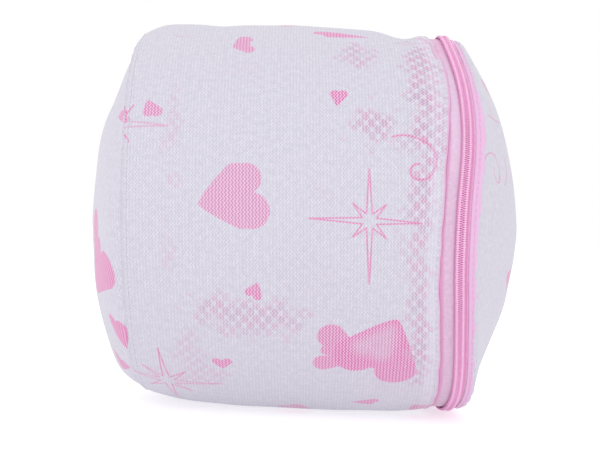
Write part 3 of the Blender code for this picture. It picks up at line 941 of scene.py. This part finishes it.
def mesh_fabric(name, prints, wall=False, rim=None):
    """Fine printed mesh.  prints(make, place) gives (heart mask, line mask)."""
    material, make, shader = new_material(name)
    place = make.uv() * IN_PLANE
    wobble = make.noise(place, scale=0.35)
    x, y = make.split(place)
    x = x + (wobble - 0.5) * 0.5
    thread = knit(make, x, y)
    fuzz = make.noise(place * (1.0, 0.62, 1.0), scale=2.3, detail=3.0, rough=0.7)
    slow = make.noise(place, scale=0.045)
    mottle = make.noise(place, scale=0.5)
    weight = make.ramp(mottle, (0.35, 0.65), (0.16, 0.50), "LINEAR")
    # the knit's gaps get painted shade; the fuzz noise adds random tone as well
    tone = thread * weight + fuzz * 0.95
    white = make.mix(make.ramp(tone, (0.26, 0.99), kind="LINEAR"), GAP_SHADE_AND_FUZZ, WHITE)
    white = make.mix(slow * 0.12, white, (0.60, 0.545, 0.655))
    hearts, lines = prints(make, place)
    # the printed pink gets painted shade in the knit's gaps
    pink = make.mix(thread, PINK_GAP_SHADE, PINK)
    pink = make.mix(make.ramp(thread, (0.55, 1.0)), pink, (0.76, 0.50, 0.68))
    colour = make.mix(hearts, white, pink)
    height = tone * 1.0
    if wall:
        colour, height = show_net(make, place, x, y, thread, colour, height)
    # printed lines: painted shade in the knit's gaps
    line_colour = make.mix(thread, (0.56, 0.17, 0.36), (0.68, 0.36, 0.55))
    colour = make.mix(lines, colour, line_colour)
    if wall:
        colour = wall_hem(make, x, fuzz, colour)
    if rim:
        colour = rim(make, place, colour)
    make.fill(shader, {
        "Base Color": colour,
        "Roughness": make.rough(fuzz, low=0.78, high=0.95),
        "Sheen Weight": 0.25,
        "Sheen Roughness": 0.5,
        "Specular IOR Level": 0.25,
        "Normal": make.bump(height, strength=0.55, distance=0.00025),
    })
    return material


def net_fabric(name):
    """Coarse honeycomb net of the lining, with painted shade in its holes."""
    material, make, shader = new_material(name)
    uv = make.uv()
    x, y = make.split(uv * IN_PLANE)
    hole = make.ramp(honeycomb(make, x, y, height=4.4), (1.0, 1.5), (1.0, 0.0))
    fuzz = make.noise(uv, scale=3.0, detail=3.0)
    thread = make.mix(fuzz, (0.64, 0.62, 0.70), (0.74, 0.72, 0.80))
    make.fill(shader, {
        # the holes get a dark grey: painted shade where the net is open
        "Base Color": make.mix(hole, thread, (0.46, 0.42, 0.50)),
        "Roughness": make.rough(fuzz, low=0.7, high=0.9),
        "Normal": make.bump(1.0 - hole, strength=0.8, distance=0.0006),
    })
    return material


def tape_fabric(
    name, colour=(0.630, 0.430, 0.589), dark=(0.640, 0.270, 0.480), edges=(), faded=False
):
    """Woven tape with fine ribs.

    edges are dark lines (x on the cloth, width), on the zip's tapes painted shade beside the coil
    and the wall's edge; faded tape changes tone round the rim."""
    material, make, shader = new_material(name)
    uv = make.uv()
    x, y = make.split(uv * IN_PLANE)
    weave = (make.bands(y, pitch=0.55) + make.bands(x, pitch=0.5)) * 0.5
    fuzz = make.noise(uv, scale=2.2, detail=3.0)
    slow = make.noise(uv, scale=0.16)
    mark = weave * 0.5 + fuzz * 0.5
    blotch = make.noise(uv, scale=0.7, detail=3.0, rough=0.7)
    shade = tuple(c * 0.90 for c in colour)
    pale = tuple(min(1.0, c * 1.05 + 0.045) for c in colour)
    shown = make.mix(make.ramp(mark, (0.2, 0.9), kind="LINEAR"), shade, colour)
    shown = make.mix(make.ramp(blotch, (0.45, 0.62)) * 0.55, shown, pale)
    shown = make.mix(make.ramp(slow, (0.35, 0.7)) * 0.25, shown, pale)
    if faded:
        shown = make.mix(make.ramp(y, (186.0, 228.0), (0.42, 0.0)), shown, (0.74, 0.58, 0.75))
        shown = make.mix(make.ramp(y, (148.0, 166.0), (0.65, 0.0)), shown, (0.72, 0.37, 0.58))
    for at, width in edges:
        shaky = x + (make.noise(uv, scale=0.5, detail=1.0) - 0.5) * 0.5
        line = make.ramp(abs(shaky - at), (width * 0.35, width), (1.0, 0.0))
        shown = make.mix(line * 0.8, shown, dark)
    make.fill(shader, {
        "Base Color": shown,
        "Roughness": make.rough(fuzz, low=0.62, high=0.85),
        "Sheen Weight": 0.3,
        "Normal": make.bump(mark, strength=0.5, distance=0.0002),
    })
    return material


def plain(name, colour, rough, grain=900.0, strength=0.15, depth=0.00008, spread=0.12, coat=0.0):
    """Moulded plastic or enamel: slight colour drift and surface grain."""
    material, make, shader = new_material(name)
    place = make.object_place()
    fine = make.noise(place, scale=grain, detail=3.0, rough=0.6)
    slow = make.noise(place, scale=grain / 12)
    dark = tuple(c * (1 - spread) for c in colour)
    light = tuple(min(1.0, c * (1 + spread)) for c in colour)
    make.fill(shader, {
        "Base Color": make.mix((fine + slow) * 0.5, dark, light),
        "Roughness": make.rough(fine, low=rough - 0.08, high=rough + 0.08),
        "Coat Weight": coat,
        "Normal": make.bump(fine, strength, depth),
    })
    return material


def thread_material(name, colour):
    """Twisted sewing thread."""
    material, make, shader = new_material(name)
    place = make.object_place()
    twist = make.add("ShaderNodeTexWave", wave_type="BANDS", bands_direction="DIAGONAL")
    make.fill(twist, {"Vector": place, "Scale": 900.0, "Distortion": 1.5})
    fine = make.noise(place, scale=1500.0)
    mark = (make.out(twist, 1) + fine) * 0.5
    make.fill(shader, {
        "Base Color": make.mix(mark, tuple(c * 0.78 for c in colour), colour),
        "Roughness": make.rough(fine, low=0.5, high=0.75),
        "Sheen Weight": 0.2,
        "Normal": make.bump(mark, strength=0.4, distance=0.0001),
    })
    return material


def coil_material(name, highlight_at):
    """Pink nylon with a painted highlight along the loops' crests, highlight_at mm from the zip's
    middle.
    """
    material, make, shader = new_material(name)
    place = make.object_place()
    across = make.attribute("across") - highlight_at
    # painted highlight: a lighter line along the loops' crests
    painted_highlight = make.ramp(abs(across), (0.14, 0.42), (1.0, 0.0))
    fine = make.noise(place, scale=1400.0)
    body = make.mix(fine, (0.70, 0.31, 0.54), (0.77, 0.39, 0.62))
    make.fill(shader, {
        "Base Color": make.mix(painted_highlight * 0.62, body, (0.84, 0.60, 0.76)),
        "Roughness": make.rough(fine, low=0.5, high=0.65),
        "Specular IOR Level": 0.3,
        "Subsurface Weight": 0.25,
        "Subsurface Radius": (0.0012, 0.0006, 0.0009),
        "Normal": make.bump(fine, strength=0.15, distance=0.00005),
    })
    return material


# ------------------------------------------------------------- wall and domes
def round_cloth(angle):
    """The wall cloth's y: mm round the drum from the front."""
    return np.radians(angle - 540.0) * DRUM_R


def wall_piece(name, stations, drop, thickness, material):
    x, angle = np.meshgrid(stations, ANGLES, indexing="ij")
    closed = np.append(ANGLES, SEAM_AT + 360.0)
    uv = np.stack(np.meshgrid(stations, round_cloth(closed), indexing="ij"), -1)
    outer, inner = layer(x, angle, drop), layer(x, angle, drop + thickness)
    return sheet(name, outer, inner, uv, material, wrap=True)


def build_wall():
    # rows lie closer together towards both ends
    eased = -np.cos(np.linspace(0.12, math.pi - 0.12, WALL_ROWS))
    share = (eased - eased[0]) / (eased[-1] - eased[0])
    stations = WALL_START_X + (MOUTH_X - WALL_START_X) * share
    fabric = mesh_fabric("wall_print_mesh", wall_prints, wall=True)
    wall = wall_piece("wall_mesh_panel", stations, 0.0, CLOTH, fabric)
    finish(wall, "bag", "wall_outer_panel")
    x, angle = np.meshgrid(stations, ANGLES, indexing="ij")
    touch = touching(x, round_cloth(angle))
    set_attribute(wall, "touch", np.tile(touch.ravel(), 2))

    stations = np.linspace(-62.2, 45.6, WALL_ROWS // 2)
    lining = wall_piece("wall_net_lining", stations, 2.5, NET, net_fabric("wall_net"))
    finish(lining, "bag", "wall_lining")


def dome_piece(name, shell, material, reach, drop, thickness, rows):
    """Dome layer out to the share reach; past 1 it has extra rows for the turned edge."""
    share = np.linspace(min(reach, 1.0), 0.0, rows)
    angles = ANGLES[::2]
    if reach > 1.0:
        share = np.concatenate([np.linspace(reach, 1.0, 9)[:-1], share])
        angles = ANGLES
    shares, angles = np.meshgrid(share, angles, indexing="ij")
    outer = dome(shell, shares, angles, drop)
    inner = dome(shell, shares, angles, drop + thickness)
    wrapped = np.concatenate([outer, outer[:, :1]], 1)
    uv = np.stack([wrapped[..., 1], wrapped[..., 2] - AXIS_Z], -1)
    uv *= (1.0 + 0.8 * np.clip(share - 1.0, 0.0, None))[:, None, None]
    made = sheet(name, outer, inner, uv, material, wrap=True, pole=True)
    if shell is LID and reach > 1.0:
        past_rim = LID_DEPTH * (shares**2 - 1.0)
        depth = np.where(shares > 1.0, past_rim, (shares - 1.0) * 60.0)
        one_face = len(made.data.vertices) // 2
        edge = (depth + lid_edge(angles)).ravel()[:one_face]
        set_attribute(made, "edge", np.tile(edge, 2))
    return made


def build_domes():
    # (part, body, shell, prints, rim, reach, thickness, the lining's drop)
    for part, body, shell, prints, rim, reach, thickness, drop in (
        ("base", "bag", BASE, base_prints, None, 1.03, CLOTH, 2.5),
        ("lid", "lid", LID, lid_prints, lid_rim, 1.068, 0.3, 2.8),
    ):
        fabric = mesh_fabric(f"{part}_print_mesh", prints, rim=rim)
        panel = dome_piece(f"{part}_mesh_panel", shell, fabric, reach, 0.0, thickness, rows=60)
        finish(panel, body, f"{part}_outer_panel")
        fabric = net_fabric(f"{part}_net")
        lining = dome_piece(f"{part}_net_lining", shell, fabric, 0.95, drop, NET, rows=40)
        finish(lining, body, f"{part}_lining")


# ------------------------------------------------------------------- zip band
WALL_TAPE = ((43.5, TAPE_R), (53.3, TAPE_R))  # (x, radius) of the outer face
LID_TAPE = ((54.7, TAPE_R), (57.8, TAPE_R), (59.2, 71.3), (60.4, 69.4))
COIL_PITCH = 0.80
# One nylon loop, from its heel on the tape to its thin head at the zip's middle:
# (distance past the middle, rise, thickness)
COIL_LOOP = (
    (-1.80, -0.36, 0.12), (-1.68, -0.12, 0.30), (-1.36, 0.16, 0.385), (-0.96, 0.24, 0.385),
    (-0.54, 0.22, 0.36), (-0.18, 0.14, 0.30), (0.12, -0.02, 0.24), (0.24, -0.18, 0.12),
)


def band(name, profile, start, stop, material, steps):
    """Tape along the rim between two angles."""
    profile = np.array(profile)
    run = np.concatenate([[0], np.cumsum(np.hypot(*np.diff(profile, axis=0).T))])
    at = np.linspace(0, run[-1], 20)
    x = np.interp(at, run, profile[:, 0])
    radius = np.interp(at, run, profile[:, 1])
    step_x, step_radius = np.gradient(x), np.gradient(radius)
    step = np.hypot(step_x, step_radius)
    inner_x = x + step_radius / step * CLOTH
    inner_radius = radius - step_x / step * CLOTH
    angle = np.linspace(start, stop, steps)
    outer = ring(x[:, None], radius[:, None], angle)
    inner = ring(inner_x[:, None], inner_radius[:, None], angle)
    uv = np.stack(np.meshgrid(x, np.radians(angle) * 73.0, indexing="ij"), -1)
    return sheet(name, outer, inner, uv, material)


def build_tapes():
    # dark lines on the wall tape: painted shade beside the wall cloth's edge and beside the coil's
    # heel
    weave = tape_fabric("tape_wall_weave", edges=((47.4, 1.5), (52.1, 0.55)), faded=True)
    tape = band("zip_tape_on_wall", WALL_TAPE, 9.15, 350.85, weave, steps=420)
    finish(tape, "bag", "zip_tape_wall")
    # the lid tape is painted brighter than the wall tape, painted light against the shade between
    # the chain and the lid's edge; its dark line is painted shade beside the coil's heel
    weave = tape_fabric(
        "tape_lid_weave", colour=(0.76, 0.44, 0.65), dark=(0.76, 0.27, 0.52),
        edges=((56.1, 0.8),), faded=True,
    )
    tape = band("zip_tape_on_lid", LID_TAPE, 24.0, 336.0, weave, steps=400)
    finish(tape, "lid", "zip_tape_lid")


def coil(name, side, start, stop, material):
    """Row of nylon loops on the side -1 (wall) or +1 (lid), which is half a pitch on."""
    along, rise, thickness = np.array(COIL_LOOP).T
    step = math.degrees(COIL_PITCH / 73.1)
    angle = np.arange(start, stop, step) + (step / 2 if side > 0 else 0.0)
    angle = angle[angle < stop]
    paths = ring(ZIP_X - side * along, 73.15 + rise, angle[:, None])
    made = tubes(name, paths, thickness, material, sides=6, squash=1.05)
    # each point's distance from the zip's middle, for the material
    at = np.zeros(len(made.data.vertices) * 3, np.float32)
    made.data.vertices.foreach_get("co", at)
    x, y, z = at.reshape(-1, 3).T.astype(float) / MM
    angle = np.degrees(np.arctan2(z - AXIS_Z, y))
    set_attribute(made, "across", x + LEAN * (z - AXIS_Z) - ZIP_X - zip_stray(angle))
    return made


def cord(name, x, start, stop, material, steps):
    """Cord inside the loops: it fills the row and is sewn down with it."""
    angle = np.linspace(start, stop, steps)
    radius = 73.08 + 0.03 * np.sin(np.radians(angle) * 97.0)
    thickness = np.full(steps, 0.52)
    return tubes(name, ring(x, radius, angle)[None], thickness, material, sides=10, squash=0.85)


def build_coils():
    # (part, body, side, start angle, stop angle)
    for part, body, side, start, stop in (
        ("wall", "bag", -1, 12.9, 347.1), ("lid", "lid", 1, 24.2, 335.8)
    ):
        nylon = coil_material(f"coil_{part}_nylon", highlight_at=1.10 * side)
        made = coil(f"zip_coil_loops_{part}", side, start, stop, nylon)
        finish(made, body, f"zip_coil_{part}")
    # (part, body, x, start angle, stop angle, steps)
    for part, body, x, start, stop, steps in (
        ("wall", "bag", 52.85, 13.1, 346.9, 500), ("lid", "lid", 55.15, 24.4, 335.6, 480)
    ):
        thread = thread_material(f"cord_{part}_thread", (0.80, 0.40, 0.62))
        made = cord(f"zip_cord_{part}", x, start, stop, thread, steps)
        finish(made, body, f"zip_coil_{part}")


# --------------------------------------------------------------- sewn details
STITCH_PITCH = 2.6
STITCH_LENGTH = 1.95
# One stitch: (share of its half length, drop under the face, thickness)
STITCH_ALONG, STITCH_DROP, STITCH_THICK = np.array((
    (-1.0, 0.42, 0.10), (-0.86, 0.02, 0.17), (-0.5, -0.10, 0.19), (0.0, -0.12, 0.19),
    (0.5, -0.10, 0.19), (0.86, 0.02, 0.17), (1.0, 0.42, 0.10),
)).T


def stitches(name, paths, thread):
    return tubes(name, paths, STITCH_THICK, thread, sides=7, squash=0.8)


def round_stitches(name, place, start, stop, thread, radius):
    """Row of stitches round the rim; place(angles, drops) gives their points."""
    step = math.degrees(STITCH_PITCH / radius)
    angle = np.arange(start, stop - step * 0.4, step)[:, None]
    half = math.degrees(STITCH_LENGTH / 2 / radius)
    sway = 0.02 * np.sin(3.1 * np.arange(len(angle)))[:, None]
    return stitches(name, place(angle + half * STITCH_ALONG, STITCH_DROP + sway), thread)


def on_base_seam(angle, drop):
    return layer(-61.7, angle, drop)


def on_mouth_seam(angle, drop):
    return layer(45.9, angle, drop)


def on_lid_seam(angle, drop):
    return dome(LID, 1.036, angle, drop * 0.8)


def build_stitches():
    # (part, body, place, start angle, stop angle, thread colour, radius for spacing)
    for part, body, place, start, stop, colour, radius in (
        ("base", "bag", on_base_seam, 0.0, 360.0, (0.64, 0.62, 0.70), 70.6),
        ("mouth", "bag", on_mouth_seam, 0.0, 360.0, (0.66, 0.62, 0.71), 73.0),
        ("lid", "lid", on_lid_seam, 24.5, 335.5, (0.76, 0.48, 0.69), 72.6),
    ):
        thread = thread_material(f"thread_{part}", colour)
        made = round_stitches(f"{part}_seam_stitches", place, start, stop, thread, radius)
        finish(made, body, f"{part}_seam_thread")

    centres = np.arange(-57.6, 39.6, STITCH_PITCH)[:, None]
    paths = layer(centres + 0.97 * STITCH_ALONG, SEAM_AT, STITCH_DROP)
    thread = thread_material("thread_side", (0.64, 0.62, 0.70))
    made = stitches("side_seam_stitches", paths, thread)
    finish(made, "bag", "side_seam_thread")


def build_side_binding():
    """Tape under the wall along the lengthwise seam."""
    across = np.linspace(-2.0, 2.0, 9)
    x, angle = np.meshgrid(np.linspace(-59.4, 40.8, 120), SEAM_AT + across, indexing="ij")
    fold = 0.22 * np.abs(turn(angle, SEAM_AT) / 2.0) ** 3 + 0.05 * np.sin(1.9 * x)
    uv = np.stack([np.radians(angle - SEAM_AT) * 75.0, x], -1)
    weave = tape_fabric("side_tape_weave", edges=((-2.2, 0.3), (2.2, 0.3)), **GREY_TAPE)
    outer, inner = layer(x, angle, 3.55 + fold), layer(x, angle, 3.55 + CLOTH + fold)
    made = sheet("side_seam_tape", outer, inner, uv, weave)
    finish(made, "bag", "side_seam_binding")


def folded_tape(start, end, low, high):
    """Cross-section (x, radius) of a folded tape: two plies and a round fold at end."""
    middle = (low + high) / 2
    half = (high - low) / 2
    first, last = start + 0.5, end - half - 0.1
    points = [(start, middle - 0.12), (start + 0.02, low + 0.05), (start + 0.15, low)]
    points += [(x, low + 0.04 * math.sin(4 * x)) for x in np.linspace(first, last, 5)]
    points += [
        (end - half + half * math.sin(bend), middle - half * math.cos(bend))
        for bend in np.linspace(0.1, math.pi - 0.1, 9)
    ]
    points += [(x, high + 0.04 * math.sin(5 * x)) for x in np.linspace(last, first, 5)]
    points += [(start + 0.15, high), (start + 0.02, high - 0.05)]
    points += [(start, middle + 0.12), (start + 0.6, middle)]
    return np.array(points)


def swept(name, section, gathers, material):
    """Closed cross-section swept round the axis, with small gathers."""
    steps = 300
    count = len(section)
    around = np.radians(np.linspace(0, 360, steps, endpoint=False))
    radius = section[:, 1][:, None] + 0.06 * np.sin(around * gathers)
    z = AXIS_Z + radius * np.sin(around)
    points = leaned(section[:, 0][:, None], radius * np.cos(around), z)
    outline = np.vstack([section, section[:1]])
    run = np.concatenate([[0], np.cumsum(np.hypot(*np.diff(outline, axis=0).T))])
    length = np.radians(360.0 * np.arange(steps + 1) / steps) * 70.0
    faces, coords = [], []
    for i in range(count):
        row, next_row = i * steps, (i + 1) % count * steps
        for j in range(steps):
            k = (j + 1) % steps
            faces.append((row + j, row + k, next_row + k, next_row + j))
            here, beyond = length[j], length[j + 1]
            coords += ((run[i], here), (run[i], beyond), (run[i + 1], beyond), (run[i + 1], here))
    return outward(link(name, points.reshape(-1, 3), faces, material, coords))


def build_bindings():
    # (part, body, section's x and radius limits, gathers, material, colours)
    for part, body, limits, gathers, weave_name, colours in (
        ("base", "bag", (-63.8, -61.7, 63.3, 64.5), 31, "base_tape_weave", GREY_TAPE),
        ("mouth", "bag", (44.1, 46.9, 68.9, 69.7), 37, "mouth_tape_weave", {}),
        ("lid", "lid", (57.7, 59.5, 65.1, 66.3), 29, "lid_tape_binding", {}),
    ):
        weave = tape_fabric(weave_name, edges=((0.8, 0.3),), **colours)
        made = swept(f"{part}_seam_tape", folded_tape(*limits), gathers, weave)
        finish(made, body, f"{part}_seam_binding")


def hoop(name, x, material):
    """Plastic cord that follows the cloth, with a small sleeve at the lengthwise seam."""
    steps, sides = 360, 10
    angle = np.linspace(20.0, 380.0, steps + 1)[:-1]
    centre = wall_radius(x) + relief(x, angle) * 0.85 - 1.75
    from_seam = np.abs(turn(angle, SEAM_AT))
    sleeve = 0.22 * np.clip((2.6 - from_seam) / 0.5, 0.0, 1.0)
    size = (0.48 + sleeve)[:, None]
    turns = 2 * math.pi * np.arange(sides) / sides
    radius = centre[:, None] + size * np.sin(turns)
    around = np.radians(angle)[:, None]
    lowest = 1.4 - size * np.sin(turns)  # keeps it off the floor
    z = np.maximum(AXIS_Z + radius * np.sin(around), lowest)
    points = leaned(x + size * np.cos(turns), radius * np.cos(around), z)
    faces = []
    for i in range(steps):
        row, next_row = i * sides, (i + 1) % steps * sides
        for k in range(sides):
            m = (k + 1) % sides
            faces.append((row + k, next_row + k, next_row + m, row + m))
    return outward(link(name, points.reshape(-1, 3), faces, material))


def build_hoops():
    for part, x in (("base", -60.2), ("mouth", 40.0)):
        plastic = plain(f"hoop_{part}_plastic", (0.55, 0.55, 0.60), rough=0.35, spread=0.08)
        finish(hoop(f"{part}_hoop_cord", x, plastic), "bag", f"{part}_rim_hoop")


# --------------------------------------------------------------------- hinge
def hinge_cloth(name, x, angle, lift, weave):
    radius = 72.15 + lift
    uv = np.stack([x, np.radians(angle) * 72.0], -1)
    return sheet(name, ring(x, radius, angle), ring(x, radius - CLOTH, angle), uv, weave)


def build_gusset():
    """Cloth between the zip's two ends, where the lid hinges."""
    x, angle = np.meshgrid(np.linspace(43.6, 59.2, 49), np.linspace(-9.0, 9.0, 61), indexing="ij")
    soft = 0.05 * np.sin(1.3 * x + 0.8 * angle) + 0.08 * np.sin(2.1 * x)
    crease = -0.18 * hill(x, ZIP_X, 0.8)
    weave = tape_fabric("hinge_weave", edges=((45.0, 0.3), (57.9, 0.3)))
    gusset = hinge_cloth("hinge_gusset", x, angle, soft + crease, weave)
    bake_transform(gusset)
    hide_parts("hinge_patch")


def build_wings():
    """Cloth on the lid's side, above and below the gusset."""
    for name, low, high in (
        ("hinge_wing_upper", 9.1, 23.4), ("hinge_wing_lower", -23.4, -9.1)
    ):
        stations = np.linspace(54.7, 59.2, 14)
        x, angle = np.meshgrid(stations, np.linspace(low, high, 50), indexing="ij")
        weave = tape_fabric(name + "_weave", edges=((55.2, 0.25),))
        made = hinge_cloth(name, x, angle, 0.05 * np.sin(1.7 * x + angle), weave)
        finish(made, "lid", "hinge_patch")


# ------------------------------------------------ metal and moulded zip parts
ENAMEL = dict(
    colour=(0.74, 0.20, 0.42), rough=0.32, grain=1600.0, strength=0.12,
    depth=0.00005, spread=0.10, coat=0.6,
)
STOP_NYLON = dict(colour=(0.74, 0.28, 0.50), rough=0.4, grain=1200.0)


def dress_zip_parts():
    for node, name, look in (
        ("slider_body", "slider_enamel", ENAMEL),
        ("pull_tab", "pull_enamel", ENAMEL),
        ("zip_stop_start", "stop_start_nylon", STOP_NYLON),
        ("zip_stop_end", "stop_end_nylon", STOP_NYLON),
    ):
        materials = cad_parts[node].data.materials
        materials.clear()
        materials.append(plain(name, **look))


# -------------------------------------------------------------------- stage
def add_camera():
    """Looks along +y, rolled with the drum's lean."""
    roll = math.atan(LEAN)
    right = Vector((math.cos(roll), 0.0, math.sin(roll)))
    up = Vector((-math.sin(roll), 0.0, math.cos(roll)))
    back = Vector((0.0, -1.0, 0.0))
    camera = bpy.data.cameras.new("camera")
    camera.sensor_width = 36.0
    camera.lens = 75.0
    camera.clip_start = 0.02
    camera.clip_end = 20.0
    obj = bpy.data.objects.new("camera", camera)
    bpy.context.scene.collection.objects.link(obj)
    place = Matrix((right, up, back)).transposed().to_4x4()
    place.translation = Vector((-1.6, -500.0, 71.4)) * MM
    obj.matrix_world = place
    bpy.context.scene.camera = obj


def add_lamp(name, at, size, energy):
    """Square lamp, in metres, aimed at the bag's middle."""
    lamp = bpy.data.lights.new(name, "AREA")
    lamp.shape = "SQUARE"
    lamp.size = size
    lamp.energy = energy
    obj = bpy.data.objects.new(name, lamp)
    bpy.context.scene.collection.objects.link(obj)
    obj.location = at
    aim = Vector((0.0, 0.0, 0.07)) - Vector(at)
    obj.rotation_euler = aim.to_track_quat("-Z", "Y").to_euler()


def set_world():
    world = bpy.data.worlds.new("studio")
    world.use_nodes = True
    background = world.node_tree.nodes["Background"]
    background.inputs["Color"].default_value = (1.0, 1.0, 1.0, 1.0)
    background.inputs["Strength"].default_value = 1.0
    scene = bpy.context.scene
    scene.world = world
    scene.view_settings.view_transform = "Standard"
    scene.view_settings.look = "None"


def add_floor():
    material, make, shader = new_material("pale_floor")
    drift = make.noise(make.object_place(), scale=3.0)
    make.fill(shader, {
        "Base Color": make.mix(drift, (0.60, 0.60, 0.60), (0.63, 0.63, 0.63)),
        "Emission Color": (1.0, 0.985, 1.0),
        "Emission Strength": 0.55,
        "Roughness": 0.9,
    })
    corners = [(-6000, -2500, 0), (6000, -2500, 0), (6000, 9000, 0), (-6000, 9000, 0)]
    link("floor", corners, [(0, 1, 2, 3)], material, smooth_faces=False)


build_wall()
build_domes()
build_tapes()
build_coils()
build_stitches()
build_side_binding()
build_bindings()
build_hoops()
build_gusset()
build_wings()
dress_zip_parts()
add_camera()
add_lamp("key", at=(-0.35, -0.75, 0.95), size=0.8, energy=3.2)
add_lamp("fill", at=(0.75, -0.85, 0.35), size=0.9, energy=1.0)
set_world()
add_floor()
